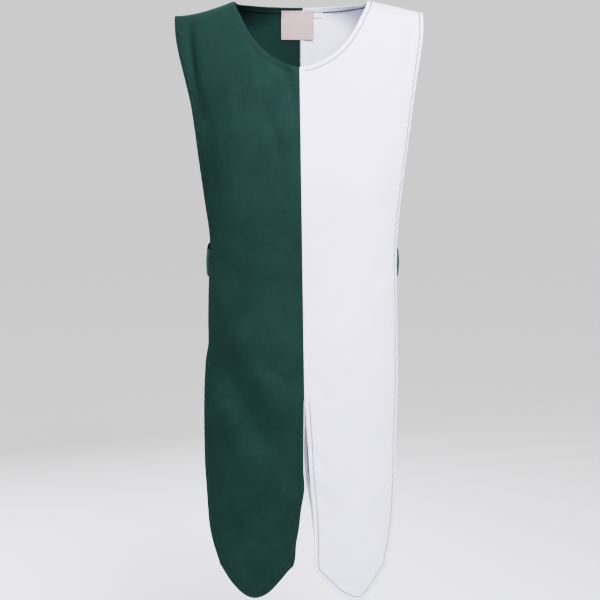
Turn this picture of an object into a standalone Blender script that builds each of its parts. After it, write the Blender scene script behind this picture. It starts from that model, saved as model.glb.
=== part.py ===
"""A parti-coloured tabard, worn: four half panels of cotton, two waist straps, a neck label and a size tab.

All sizes are in metres and all angles in degrees. The front faces -Y, and +X is on the right of someone
who looks at the front. The origin lies midway between the neck ends of the two shoulder seams.
"""
import math
from collections import namedtuple

import bmesh
import bpy
from mathutils import Vector

# The cloth.
CLOTH_WALL = 0.0012
HEM_WALL = 0.0020
HEM_WIDTH = 0.009
SEAM_GAP = 0.0003

# The two sides of the centre seam, and the two faces of the garment.
GREEN_HAND = -1
WHITE_HAND = 1
FRONT_FACE = -1
BACK_FACE = 1

# The grid of a half panel: strips between its hems, rows along its neckline and rows below it. A crowding
# over 1 sets rows closer at the top, or strips closer at the side edge, where the cloth turns most.
FIELD_COLUMNS = 11
COLUMNS = FIELD_COLUMNS + 2
NECK_ROWS = 12
BODY_ROWS = 40
ROWS = NECK_ROWS + BODY_ROWS + 1
EDGE_CROWDING = 1.4
BODY_CROWDING = 1.45
SIDE_CROWDING = 1.2
WALK_STEPS = 60
WALK_TURN = math.radians(75.0)
PROBE = 0.0005

# The centre seam leans a little to the right on its way down, and opens into a slit.
SEAM_TOPS = {FRONT_FACE: -0.0010, BACK_FACE: 0.0074}
SEAM_SLIT_X = 0.0079
SEAM_TOP_HEIGHT = -0.129
SLIT_HEIGHT = -0.740

# Level sections of the front: how far the left and right edges stand from the centre, how far the edge
# and the middle lie in front of the shoulder seams, and how far the cloth turns towards its edge.
Section = namedtuple("Section", "height left right edge_depth middle_depth turn")
FRONT_SECTIONS = (
    Section(-0.026, 0.2350, 0.2300, 0.042, 0.082, 72.0),
    Section(-0.073, 0.2292, 0.2277, 0.042, 0.083, 73.0),
    Section(-0.148, 0.2134, 0.2170, 0.043, 0.090, 75.0),
    Section(-0.222, 0.1993, 0.2077, 0.043, 0.098, 77.0),
    Section(-0.296, 0.1897, 0.1990, 0.042, 0.103, 78.0),
    Section(-0.370, 0.1801, 0.1904, 0.041, 0.101, 78.0),
    Section(-0.446, 0.1705, 0.1837, 0.040, 0.096, 77.0),
    Section(-0.521, 0.1721, 0.1835, 0.040, 0.096, 76.0),
    Section(-0.636, 0.1762, 0.1857, 0.042, 0.101, 72.0),
    Section(-0.676, 0.1812, 0.1866, 0.044, 0.103, 69.0),
    Section(-0.750, 0.1830, 0.1859, 0.047, 0.106, 66.0),
    Section(-0.827, 0.1824, 0.1834, 0.051, 0.108, 63.0),
    Section(-0.904, 0.1790, 0.1828, 0.055, 0.110, 61.0),
    Section(-0.982, 0.1745, 0.1784, 0.060, 0.111, 59.0),
    Section(-1.020, 0.1670, 0.1738, 0.067, 0.112, 54.0),
    Section(-1.060, 0.1530, 0.1660, 0.079, 0.113, 47.0),
)
BACK_SECTIONS = (
    Section(-0.026, 0.2350, 0.2300, 0.042, 0.094, 72.0),
    Section(-0.073, 0.2310, 0.2275, 0.044, 0.098, 73.0),
    Section(-0.148, 0.2150, 0.2165, 0.047, 0.103, 75.0),
    Section(-0.222, 0.2030, 0.2060, 0.047, 0.105, 76.0),
    Section(-0.296, 0.1930, 0.1965, 0.046, 0.101, 77.0),
    Section(-0.370, 0.1835, 0.1880, 0.045, 0.094, 77.0),
    Section(-0.446, 0.1750, 0.1815, 0.044, 0.089, 76.0),
    Section(-0.521, 0.1745, 0.1810, 0.044, 0.091, 75.0),
    Section(-0.636, 0.1770, 0.1840, 0.046, 0.098, 71.0),
    Section(-0.750, 0.1815, 0.1850, 0.050, 0.104, 66.0),
    Section(-0.827, 0.1830, 0.1845, 0.054, 0.106, 63.0),
    Section(-0.904, 0.1810, 0.1830, 0.057, 0.108, 61.0),
    Section(-0.982, 0.1770, 0.1780, 0.062, 0.109, 59.0),
    Section(-1.020, 0.1710, 0.1730, 0.068, 0.110, 54.0),
    Section(-1.060, 0.1590, 0.1650, 0.080, 0.110, 47.0),
)

# The slit edges: where the inner edge of each half stands, from the slit's top to its lappet.
Slit = namedtuple("Slit", "height front_green front_white back_green back_white")
SLIT_EDGES = (
    Slit(-0.740, 0.0070, 0.0088, 0.0070, 0.0088),
    Slit(-0.785, 0.0065, 0.0118, 0.0050, 0.0105),
    Slit(-0.825, 0.0064, 0.0147, 0.0030, 0.0104),
    Slit(-0.870, 0.0065, 0.0170, 0.0010, 0.0086),
    Slit(-0.907, 0.0083, 0.0200, -0.0010, 0.0090),
    Slit(-0.946, 0.0022, 0.0239, -0.0040, 0.0118),
    Slit(-0.982, -0.0019, 0.0256, -0.0075, 0.0178),
    Slit(-1.012, -0.0070, 0.0262, -0.0115, 0.0225),
    Slit(-1.040, -0.0090, 0.0263, -0.0150, 0.0255),
    Slit(-1.064, -0.0150, 0.0282, -0.0200, 0.0289),
)

# The hem of each lappet: its height across the half, from the slit edge to the side edge.
Lappet = namedtuple("Lappet", "across front_green front_white back_green back_white")
LAPPETS = (
    Lappet(0.00, -1.0545, -1.0640, -1.0560, -1.0640),
    Lappet(0.15, -1.0810, -1.0850, -1.0810, -1.0850),
    Lappet(0.33, -1.1080, -1.1090, -1.1060, -1.1075),
    Lappet(0.50, -1.1190, -1.1220, -1.1180, -1.1210),
    Lappet(0.66, -1.1140, -1.1260, -1.1140, -1.1180),
    Lappet(0.84, -1.0920, -1.0975, -1.0910, -1.0950),
    Lappet(1.00, -1.0610, -1.0635, -1.0620, -1.0610),
)

# The shoulder line, across each half from the centre to the tip. The neck hole ends where it begins to
# slope. The nape stands higher than the neck ends of the seams.
Shoulder = namedtuple("Shoulder", "across left right")
SHOULDERS = (
    Shoulder(0.00, 0.0000, 0.0000),
    Shoulder(0.40, 0.0010, 0.0025),
    Shoulder(0.52, -0.0010, 0.0015),
    Shoulder(0.66, -0.0115, -0.0040),
    Shoulder(0.78, -0.0200, -0.0100),
    Shoulder(0.90, -0.0255, -0.0165),
    Shoulder(1.00, -0.0275, -0.0215),
)
NECK_ENDS = {GREEN_HAND: -0.1220, WHITE_HAND: 0.1258}
NAPE_RISE = 0.036

# The height over which each panel rolls from the shoulder line into its own fall.
Roll = namedtuple("Roll", "across front back")
ROLLS = (
    Roll(0.00, 0.120, 0.045),
    Roll(0.50, 0.105, 0.060),
    Roll(1.00, 0.070, 0.070),
)

# The neckline, from the neck end of the shoulder seam to the centre.
Neck = namedtuple("Neck", "out front_left front_right back")
NECKLINES = (
    Neck(1.000, 0.0000, 0.0000, 0.0000),
    Neck(0.961, -0.0150, -0.0163, -0.0014),
    Neck(0.894, -0.0316, -0.0337, -0.0013),
    Neck(0.798, -0.0554, -0.0580, -0.0007),
    Neck(0.690, -0.0766, -0.0791, -0.0002),
    Neck(0.568, -0.0938, -0.0964, 0.0005),
    Neck(0.417, -0.1089, -0.1109, 0.0013),
    Neck(0.223, -0.1221, -0.1233, 0.0017),
    Neck(0.000, -0.1297, -0.1297, 0.0019),
)

# The rows that start on the neckline end on this stretch of the side edge, and rows below this height
# bend more and more like the lappet's hem.
NECK_EDGE_SPREAD = 0.300
LAPPET_RISE_HEIGHT = -0.800

# The largest folds, as lines on the garment seen from the front. A trough has a negative depth, and bow
# is how far the middle of the line lies off the straight way between its ends.
Fold = namedtuple("Fold", "face hand start end bow width depth")
FOLDS = (
    Fold(FRONT_FACE, GREEN_HAND, (-0.2080, -0.050), (-0.1740, -0.235), -0.010, 0.014, -0.0050),
    Fold(FRONT_FACE, GREEN_HAND, (-0.2260, -0.060), (-0.2010, -0.180), -0.004, 0.010, 0.0030),
    Fold(FRONT_FACE, GREEN_HAND, (-0.1740, -0.235), (-0.1600, -0.440), 0.003, 0.016, -0.0030),
    Fold(FRONT_FACE, WHITE_HAND, (0.2050, -0.045), (0.1900, -0.150), 0.003, 0.012, -0.0040),
    Fold(FRONT_FACE, WHITE_HAND, (0.1850, -0.220), (0.1680, -0.430), -0.003, 0.018, -0.0025),
    Fold(FRONT_FACE, GREEN_HAND, (-0.0650, -0.112), (-0.0200, -0.150), 0.006, 0.010, -0.0030),
    Fold(FRONT_FACE, GREEN_HAND, (-0.0620, -0.205), (-0.0340, -0.330), 0.004, 0.014, -0.0025),
    Fold(FRONT_FACE, WHITE_HAND, (0.0700, -0.180), (0.0450, -0.300), -0.004, 0.016, -0.0020),
    Fold(FRONT_FACE, GREEN_HAND, (-0.1680, -0.655), (-0.0380, -0.835), -0.018, 0.030, -0.0055),
    Fold(FRONT_FACE, GREEN_HAND, (-0.0800, -0.674), (-0.0200, -0.712), 0.004, 0.010, -0.0025),
    Fold(FRONT_FACE, WHITE_HAND, (0.1500, -0.600), (0.0700, -0.740), 0.010, 0.026, -0.0035),
    Fold(FRONT_FACE, WHITE_HAND, (0.0370, -0.905), (0.0740, -0.975), 0.006, 0.012, -0.0030),
    Fold(FRONT_FACE, GREEN_HAND, (-0.1200, -0.900), (-0.0900, -1.090), 0.006, 0.026, -0.0030),
    Fold(FRONT_FACE, WHITE_HAND, (0.1250, -0.860), (0.1150, -1.080), -0.006, 0.024, 0.0030),
    Fold(BACK_FACE, GREEN_HAND, (-0.2040, -0.060), (-0.1780, -0.260), -0.008, 0.014, -0.0045),
    Fold(BACK_FACE, WHITE_HAND, (0.2060, -0.055), (0.1850, -0.230), 0.007, 0.014, -0.0045),
    Fold(BACK_FACE, GREEN_HAND, (-0.0900, -0.060), (-0.0500, -0.230), 0.010, 0.022, -0.0030),
    Fold(BACK_FACE, WHITE_HAND, (0.1000, -0.050), (0.0550, -0.190), -0.008, 0.020, -0.0035),
    Fold(BACK_FACE, GREEN_HAND, (-0.1650, -0.420), (-0.0700, -0.520), 0.008, 0.018, -0.0035),
    Fold(BACK_FACE, WHITE_HAND, (0.1700, -0.430), (0.0600, -0.540), -0.010, 0.020, -0.0040),
    Fold(BACK_FACE, WHITE_HAND, (0.1500, -0.680), (0.0500, -0.870), 0.016, 0.028, -0.0050),
    Fold(BACK_FACE, GREEN_HAND, (-0.1300, -0.640), (-0.0600, -0.900), -0.010, 0.026, -0.0040),
    Fold(BACK_FACE, GREEN_HAND, (-0.1050, -0.910), (-0.1150, -1.090), 0.005, 0.024, 0.0035),
)
FOLD_FADE = 0.080
FOLD_END = 0.12

# The waist straps: green bands sewn inside the side hems, front to back. Each bows out between its ends,
# less along its top and bottom edges than along its middle, and droops a little.
STRAP_WIDTH = 0.050
STRAP_WALL = 0.0014
STRAP_LAP = 0.016
STRAP_FRONT_HEIGHT = -0.489
STRAP_BACK_HEIGHT = -0.477
STRAP_BARREL = 0.30
STRAP_BOW = 0.85
STRAP_DROOP = 0.004
STRAP_LAP_ROWS = 3
STRAP_FREE_ROWS = 12
STRAP_COLUMNS = 5

# The label and the size tab lie inside the back neck, on the hem. Both are bare.
LABEL_LEFT = -0.0372
LABEL_RIGHT = 0.0268
LABEL_TOP = -0.0030
LABEL_BOTTOM = -0.0596
LABEL_WALL = 0.0010
LABEL_GAP = 0.0009
LABEL_COLUMNS = 8
LABEL_ROWS = 6
TAB_LEFT = 0.0274
TAB_RIGHT = 0.0444
TAB_TOP = -0.0068
TAB_BOTTOM = -0.0174
TAB_WALL = 0.0010
TAB_COLUMNS = 3
TAB_ROWS = 2

GREEN_COTTON = ("green cotton", (0.0220, 0.0600, 0.0500), 0.85)
WHITE_COTTON = ("white cotton", (0.8200, 0.8200, 0.8700), 0.85)
LABEL_TAPE = ("pale pink label tape", (0.6900, 0.5500, 0.5600), 0.80)
TAB_TAPE = ("white tab tape", (0.8200, 0.8200, 0.8400), 0.80)

Panel = namedtuple("Panel", "name face hand sections side material")
FRONT_GREEN = Panel("front_green", FRONT_FACE, GREEN_HAND, FRONT_SECTIONS, "left", GREEN_COTTON)
FRONT_WHITE = Panel("front_white", FRONT_FACE, WHITE_HAND, FRONT_SECTIONS, "right", WHITE_COTTON)
BACK_GREEN = Panel("back_green", BACK_FACE, GREEN_HAND, BACK_SECTIONS, "left", GREEN_COTTON)
BACK_WHITE = Panel("back_white", BACK_FACE, WHITE_HAND, BACK_SECTIONS, "right", WHITE_COTTON)
PANELS = (FRONT_GREEN, FRONT_WHITE, BACK_GREEN, BACK_WHITE)


def clear_scene():
    """Removes the objects that a new Blender file starts with."""
    for old in list(bpy.data.objects):
        bpy.data.objects.remove(old, do_unlink=True)


def read(rows, column, key):
    """Reads a table's column on a smooth curve through its rows, held level past both ends."""
    keys = [row[0] for row in rows]
    values = [getattr(row, column) for row in rows]
    if keys[0] > keys[-1]:
        keys.reverse()
        values.reverse()
    if key <= keys[0]:
        return values[0]
    if key >= keys[-1]:
        return values[-1]
    last = len(keys) - 1
    place = next(index for index in range(last) if key <= keys[index + 1])
    span = keys[place + 1] - keys[place]
    share = (key - keys[place]) / span

    def slope(index):
        before = max(index - 1, 0)
        after = min(index + 1, last)
        return (values[after] - values[before]) / (keys[after] - keys[before])

    return (
        values[place] * (2.0 * share**3 - 3.0 * share**2 + 1.0)
        + values[place + 1] * (3.0 * share**2 - 2.0 * share**3)
        + slope(place) * span * (share**3 - 2.0 * share**2 + share)
        + slope(place + 1) * span * (share**3 - share**2)
    )


def ease(share):
    """Rises from 0 to 1 with level ends."""
    share = min(max(share, 0.0), 1.0)
    return share * share * (3.0 - 2.0 * share)


def inner_x(panel, height):
    """Where the centre seam, or the slit's edge below it, stands at a height."""
    if height < SLIT_HEIGHT:
        return read(SLIT_EDGES, panel.name, height)
    lean = (SEAM_TOP_HEIGHT - height) / (SEAM_TOP_HEIGHT - SLIT_HEIGHT)
    seam_top = SEAM_TOPS[panel.face]
    seam = seam_top + (SEAM_SLIT_X - seam_top) * max(lean, 0.0)
    return seam + panel.hand * SEAM_GAP / 2.0


def outer_x(panel, height):
    """Where the side edge of a half panel stands at a height."""
    return panel.hand * read(panel.sections, panel.side, height)


def shoulder_height(panel, across):
    """The height of the shoulder line, with the nape's rise over the back of the neck hole."""
    height = read(SHOULDERS, panel.side, across)
    if panel.face == BACK_FACE:
        neck_share = across * outer_x(panel, 0.0) / NECK_ENDS[panel.hand]
        height += NAPE_RISE * max(1.0 - neck_share**2, 0.0) ** 2
    return height


def roll_height(panel, across):
    """The height over which the cloth rolls from the shoulder line into its fall."""
    return read(ROLLS, "front" if panel.face == FRONT_FACE else "back", across)


def smooth_cloth(panel, across, down):
    """A point of the unfolded cloth: across from the centre to the side edge, down from the shoulder."""
    roll = roll_height(panel, across)
    angle = min(down / roll, math.pi / 2.0)
    fall = roll * (1.0 - math.cos(angle)) + max(down - roll * math.pi / 2.0, 0.0)
    height = shoulder_height(panel, across) - fall
    edge_depth = read(panel.sections, "edge_depth", height)
    middle_depth = read(panel.sections, "middle_depth", height)
    turn = math.radians(read(panel.sections, "turn", height))
    bend = math.asin(across * math.sin(turn))
    depth = middle_depth + (edge_depth - middle_depth) * (1.0 - math.cos(bend)) / (1.0 - math.cos(turn))
    inner = inner_x(panel, height)
    out = inner + across * (outer_x(panel, height) - inner)
    return Vector((out, panel.face * (SEAM_GAP / 2.0 + depth * math.sin(angle)), height))


def outward(panel, across, down, surface):
    """The direction that points out of the garment at a point of a surface."""
    sideways = surface(panel, across + PROBE, down) - surface(panel, across - PROBE, down)
    downward = surface(panel, across, down + PROBE) - surface(panel, across, down - PROBE)
    return sideways.cross(downward).normalized() * panel.hand * panel.face


def fold_depth(panel, point, down):
    """How far the folds lift the cloth at a point. They fade out towards the shoulder seam."""
    lift = 0.0
    for fold in FOLDS:
        if fold.face != panel.face or fold.hand != panel.hand:
            continue
        line = Vector(fold.end) - Vector(fold.start)
        reach = Vector((point.x, point.z)) - Vector(fold.start)
        along = reach.dot(line) / line.length_squared
        held = min(max(along, 0.0), 1.0)
        aside = (line.x * reach.y - line.y * reach.x) / line.length - fold.bow * 4.0 * held * (1.0 - held)
        past = (along - held) * line.length
        swell = math.sin(math.pi * (FOLD_END + (1.0 - 2.0 * FOLD_END) * held))
        lift += fold.depth * swell * math.exp(-(aside**2 + past**2) / fold.width**2)
    return lift * ease(down / FOLD_FADE)


def drape(panel, across, down):
    """A point on the outer face of the worn cloth, with its folds."""
    point = smooth_cloth(panel, across, down)
    return point + outward(panel, across, down, smooth_cloth) * fold_depth(panel, point, down)


def place_of(panel, x, height):
    """How far across and down the cloth a point lies that is seen at x and a height."""
    inner = inner_x(panel, height)
    across = (x - inner) / (outer_x(panel, height) - inner)
    drop = max(shoulder_height(panel, across) - height, 0.0)
    roll = roll_height(panel, across)
    if drop < roll:
        return across, roll * math.acos(1.0 - drop / roll)
    return across, roll * math.pi / 2.0 + drop - roll


def stops_along(panel, path, layout):
    """Finds the places on a path over the cloth at the distances that a layout gives for its length."""
    marks = [path(step / WALK_STEPS) for step in range(WALK_STEPS + 1)]
    points = [drape(panel, *mark) for mark in marks]
    lengths = [0.0]
    for before, after in zip(points, points[1:]):
        lengths.append(lengths[-1] + (after - before).length)
    stops = []
    index = 0
    for distance in layout(lengths[-1]):
        while index < WALK_STEPS - 1 and lengths[index + 1] < distance:
            index += 1
        share = (distance - lengths[index]) / (lengths[index + 1] - lengths[index])
        start = marks[index]
        end = marks[index + 1]
        stops.append(tuple(a + (b - a) * share for a, b in zip(start, end)))
    return stops


def even_layout(count):
    """A layout with equal spaces."""
    return lambda length: [length * step / count for step in range(count + 1)]


def hemmed_layout(length):
    """A layout with a hem at both ends and strips between them that narrow towards the side edge."""
    field = length - 2.0 * HEM_WIDTH
    strips = [1.0 - (1.0 - step / FIELD_COLUMNS) ** SIDE_CROWDING for step in range(FIELD_COLUMNS + 1)]
    return [0.0] + [HEM_WIDTH + field * strip for strip in strips] + [length]


def neckline_path(panel):
    """The neckline as a path from the shoulder seam to the centre."""
    column = "front_" + panel.side if panel.face == FRONT_FACE else "back"
    neck_end = NECK_ENDS[panel.hand]
    seam_height = shoulder_height(panel, neck_end / outer_x(panel, 0.0))

    def path(share):
        out = math.cos(share * math.pi / 2.0)
        height = read(NECKLINES, column, out) + seam_height * out
        inner = inner_x(panel, height)
        return place_of(panel, inner + (neck_end - inner) * out, height)

    return path


def hem_down(panel, across):
    """How far down the cloth the lappet's hem lies."""
    roll = roll_height(panel, across)
    drop = shoulder_height(panel, across) - read(LAPPETS, panel.name, across)
    return roll * math.pi / 2.0 + drop - roll


def row_path(panel, inner, edge):
    """A row as a path from its inner place to its place on the side edge, bent like the lappet below."""
    inner_hem = hem_down(panel, 0.0)
    edge_hem = hem_down(panel, 1.0)
    rise = place_of(panel, inner_x(panel, LAPPET_RISE_HEIGHT), LAPPET_RISE_HEIGHT)[1]
    swell = ease((inner[1] - rise) / (inner_hem - HEM_WIDTH - rise))

    def path(share):
        walk = math.sin(share * WALK_TURN) / math.sin(WALK_TURN)
        across = inner[0] + (edge[0] - inner[0]) * walk
        down = inner[1] + (edge[1] - inner[1]) * walk
        level_hem = inner_hem + (edge_hem - inner_hem) * across
        return across, down + swell * (hem_down(panel, across) - level_hem)

    return path


def downs_below(start, end):
    """Rows from a start to the hem's inner edge, closest at the top, and the row on the hem's end."""
    length = end - HEM_WIDTH - start
    rows = [start + length * (step / BODY_ROWS) ** BODY_CROWDING for step in range(1, BODY_ROWS + 1)]
    return rows + [end]


def panel_grid(panel):
    """The places of a half panel's grid points on its cloth, row by row from shoulder to hem."""
    inner_places = stops_along(panel, neckline_path(panel), even_layout(NECK_ROWS))
    inner_places += [(0.0, down) for down in downs_below(inner_places[-1][1], hem_down(panel, 0.0))]
    edge_places = [
        (1.0, NECK_EDGE_SPREAD * (step / NECK_ROWS) ** EDGE_CROWDING) for step in range(NECK_ROWS + 1)
    ]
    edge_places += [(1.0, down) for down in downs_below(NECK_EDGE_SPREAD, hem_down(panel, 1.0))]
    return [
        stops_along(panel, row_path(panel, inner, edge), hemmed_layout)
        for inner, edge in zip(inner_places, edge_places)
    ]


def wall_at(column, row, height):
    """The wall is thicker on the turned hems of the side, the lappet, the neckline and the slit."""
    on_side_hem = column >= COLUMNS - 1
    on_lappet_hem = row >= ROWS - 1
    on_inner_hem = column <= 1 and (row <= NECK_ROWS or height < SLIT_HEIGHT)
    return HEM_WALL if on_side_hem or on_lappet_hem or on_inner_hem else CLOTH_WALL


def make_material(finish):
    """Makes a material from its name, its linear colour and its roughness."""
    name, colour, roughness = finish
    material = bpy.data.materials.get(name) or bpy.data.materials.new(name)
    material.use_nodes = True
    shader = material.node_tree.nodes["Principled BSDF"]
    shader.inputs["Base Color"].default_value = (*colour, 1.0)
    shader.inputs["Roughness"].default_value = roughness
    shader.inputs["Metallic"].default_value = 0.0
    return material


def make_cloth(name, columns, rows, faces_at, finish, collection):
    """Makes one closed piece of cloth from a grid, where faces_at gives its outer and inner points."""
    cloth = bmesh.new()
    bmesh.ops.create_grid(cloth, x_segments=columns, y_segments=rows, size=1.0)
    inner_point = cloth.verts.layers.float_vector.new("inner point")
    for vert in cloth.verts:
        column = round((vert.co.x + 1.0) / 2.0 * columns)
        row = round((1.0 - vert.co.y) / 2.0 * rows)
        vert.co, vert[inner_point] = faces_at(column, row)
    inside = bmesh.ops.extrude_face_region(cloth, geom=cloth.faces[:], use_keep_orig=True)
    for vert in inside["geom"]:
        if isinstance(vert, bmesh.types.BMVert):
            vert.co = vert[inner_point]
    cloth.verts.layers.float_vector.remove(inner_point)
    bmesh.ops.recalc_face_normals(cloth, faces=cloth.faces[:])
    mesh = bpy.data.meshes.new(name)
    cloth.to_mesh(mesh)
    cloth.free()
    mesh.shade_smooth()
    mesh.set_sharp_from_angle(angle=math.radians(50.0))
    mesh.materials.append(make_material(finish))
    piece = bpy.data.objects.new(name, mesh)
    collection.objects.link(piece)


def make_panel(panel, collection):
    """Makes a half panel from its cut, draped."""
    grid = panel_grid(panel)

    def faces_at(column, row):
        place = grid[row][column]
        outer = drape(panel, *place)
        return outer, outer - outward(panel, *place, drape) * wall_at(column, row, outer.z)

    make_cloth(panel.name, COLUMNS, ROWS, faces_at, panel.material, collection)


def lying_inside(panel, place, gap, wall):
    """The outer and inner points of a piece that lies on the inner face of a hem."""
    direction = outward(panel, *place, drape)
    outer = drape(panel, *place) - direction * (HEM_WALL + gap)
    return outer, outer - direction * wall


def edge_place(panel, height, inward):
    """The place on the cloth at a height that lies a distance in from the side edge."""
    inner = inner_x(panel, height)
    outer = outer_x(panel, height)

    def path(share):
        return place_of(panel, outer + (inner - outer) * share / 2.0, height)

    return stops_along(panel, path, lambda length: [inward])[0]


def strap_line(front, back, up):
    """The outer and inner points along a strap, at a height over its middle line."""
    insets = [STRAP_LAP * (1.0 - step / STRAP_LAP_ROWS) for step in range(STRAP_LAP_ROWS + 1)]
    front_places = [edge_place(front, STRAP_FRONT_HEIGHT + up, inset) for inset in insets]
    back_places = [edge_place(back, STRAP_BACK_HEIGHT + up, inset) for inset in insets]
    line = [lying_inside(front, place, SEAM_GAP, STRAP_WALL) for place in front_places]
    back_line = [lying_inside(back, place, SEAM_GAP, STRAP_WALL) for place in back_places]
    back_line.reverse()
    start = line[-1][0]
    end = back_line[0][0]
    barrel = (end - start).length * STRAP_BOW * (1.0 - STRAP_BARREL * (2.0 * up / STRAP_WIDTH) ** 2)
    leaving = (start - line[-2][0]).normalized() * barrel
    arriving = (back_line[1][0] - end).normalized() * barrel
    for step in range(1, STRAP_FREE_ROWS):
        share = step / STRAP_FREE_ROWS
        point = (
            start * (2.0 * share**3 - 3.0 * share**2 + 1.0)
            + end * (3.0 * share**2 - 2.0 * share**3)
            + leaving * (share**3 - 2.0 * share**2 + share)
            + arriving * (share**3 - share**2)
        )
        heading = (
            (end - start) * (6.0 * share - 6.0 * share**2)
            + leaving * (3.0 * share**2 - 4.0 * share + 1.0)
            + arriving * (3.0 * share**2 - 2.0 * share)
        )
        point.z -= STRAP_DROOP * math.sin(math.pi * share)
        outside = heading.cross(Vector((0.0, 0.0, front.hand))).normalized()
        line.append((point, point - outside * STRAP_WALL))
    return line + back_line


def make_strap(name, front, back, collection):
    """Makes a waist strap, sewn inside the side hems of its front and back."""
    lines = [
        strap_line(front, back, STRAP_WIDTH * (0.5 - column / STRAP_COLUMNS))
        for column in range(STRAP_COLUMNS + 1)
    ]
    rows = len(lines[0]) - 1
    make_cloth(name, STRAP_COLUMNS, rows, lambda column, row: lines[column][row], GREEN_COTTON, collection)


def make_neck_piece(name, sides, ends, counts, wall, finish, collection):
    """Makes a rectangle of tape that lies inside the back neck, across the centre seam or beside it."""
    left, right = sides
    top, bottom = ends
    columns, rows = counts

    def faces_at(column, row):
        x = left + (right - left) * column / columns
        height = top + (bottom - top) * row / rows
        panel = BACK_GREEN if x < inner_x(BACK_GREEN, height) else BACK_WHITE
        return lying_inside(panel, place_of(panel, x, height), LABEL_GAP, wall)

    make_cloth(name, columns, rows, faces_at, finish, collection)


clear_scene()
tabard = bpy.data.collections.new("tabard")
bpy.context.scene.collection.children.link(tabard)
for half in PANELS:
    make_panel(half, tabard)
make_strap("strap_left", FRONT_GREEN, BACK_GREEN, tabard)
make_strap("strap_right", FRONT_WHITE, BACK_WHITE, tabard)
make_neck_piece(
    "neck_label",
    (LABEL_LEFT, LABEL_RIGHT),
    (LABEL_TOP, LABEL_BOTTOM),
    (LABEL_COLUMNS, LABEL_ROWS),
    LABEL_WALL,
    LABEL_TAPE,
    tabard,
)
make_neck_piece(
    "size_tab",
    (TAB_LEFT, TAB_RIGHT),
    (TAB_TOP, TAB_BOTTOM),
    (TAB_COLUMNS, TAB_ROWS),
    TAB_WALL,
    TAB_TAPE,
    tabard,
)
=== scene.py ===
import math
from collections import namedtuple

import bmesh
import bpy
import numpy as np
from mathutils import Euler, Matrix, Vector


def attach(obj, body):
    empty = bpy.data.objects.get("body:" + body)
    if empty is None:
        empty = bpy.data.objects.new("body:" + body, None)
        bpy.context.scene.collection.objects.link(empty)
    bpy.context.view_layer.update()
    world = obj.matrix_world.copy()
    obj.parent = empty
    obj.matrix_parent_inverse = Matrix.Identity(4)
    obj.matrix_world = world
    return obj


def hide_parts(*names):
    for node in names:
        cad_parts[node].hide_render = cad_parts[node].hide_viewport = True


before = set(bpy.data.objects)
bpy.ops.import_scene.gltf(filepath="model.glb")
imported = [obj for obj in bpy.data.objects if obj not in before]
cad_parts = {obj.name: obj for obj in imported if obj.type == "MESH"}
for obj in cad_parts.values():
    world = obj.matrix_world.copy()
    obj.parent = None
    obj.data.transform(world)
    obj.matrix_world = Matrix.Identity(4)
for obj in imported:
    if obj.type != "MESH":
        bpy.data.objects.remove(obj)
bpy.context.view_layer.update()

# FRONT AND BACK HALVES. Two fronts and two backs of cotton twill, green on the viewer's left and white on
# the right. Each is one cut piece with a turned hem on its neckline, side, slit and lappet, and it is worn:
# it hangs from the shoulders round a hollow. What follows is its fall, in metres, with the front at -Y.
GREEN_HAND = -1
WHITE_HAND = 1
FRONT_FACE = -1
BACK_FACE = 1
SEAM_GAP = 0.0003
SEAM_TOPS = {FRONT_FACE: -0.0010, BACK_FACE: 0.0074}
SEAM_SLIT_X = 0.0079
SEAM_TOP_HEIGHT = -0.129
SLIT_HEIGHT = -0.740

# Level sections: how far the left and right edges stand from the centre, how far the edge and the middle lie
# from the shoulder seams, and how far the cloth turns towards its edge, in degrees.
Section = namedtuple("Section", "height left right edge_depth middle_depth turn")
FRONT_SECTIONS = (
    Section(-0.026, 0.2350, 0.2300, 0.042, 0.082, 72.0),
    Section(-0.073, 0.2292, 0.2277, 0.042, 0.083, 73.0),
    Section(-0.148, 0.2134, 0.2170, 0.043, 0.090, 75.0),
    Section(-0.222, 0.1993, 0.2077, 0.043, 0.098, 77.0),
    Section(-0.296, 0.1897, 0.1990, 0.042, 0.103, 78.0),
    Section(-0.370, 0.1801, 0.1904, 0.041, 0.101, 78.0),
    Section(-0.446, 0.1705, 0.1837, 0.040, 0.096, 77.0),
    Section(-0.521, 0.1721, 0.1835, 0.040, 0.096, 76.0),
    Section(-0.636, 0.1762, 0.1857, 0.042, 0.101, 72.0),
    Section(-0.676, 0.1812, 0.1866, 0.044, 0.103, 69.0),
    Section(-0.750, 0.1830, 0.1859, 0.047, 0.106, 66.0),
    Section(-0.827, 0.1824, 0.1834, 0.051, 0.108, 63.0),
    Section(-0.904, 0.1790, 0.1828, 0.055, 0.110, 61.0),
    Section(-0.982, 0.1745, 0.1784, 0.060, 0.111, 59.0),
    Section(-1.020, 0.1670, 0.1738, 0.067, 0.112, 54.0),
    Section(-1.060, 0.1530, 0.1660, 0.079, 0.113, 47.0),
)
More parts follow.
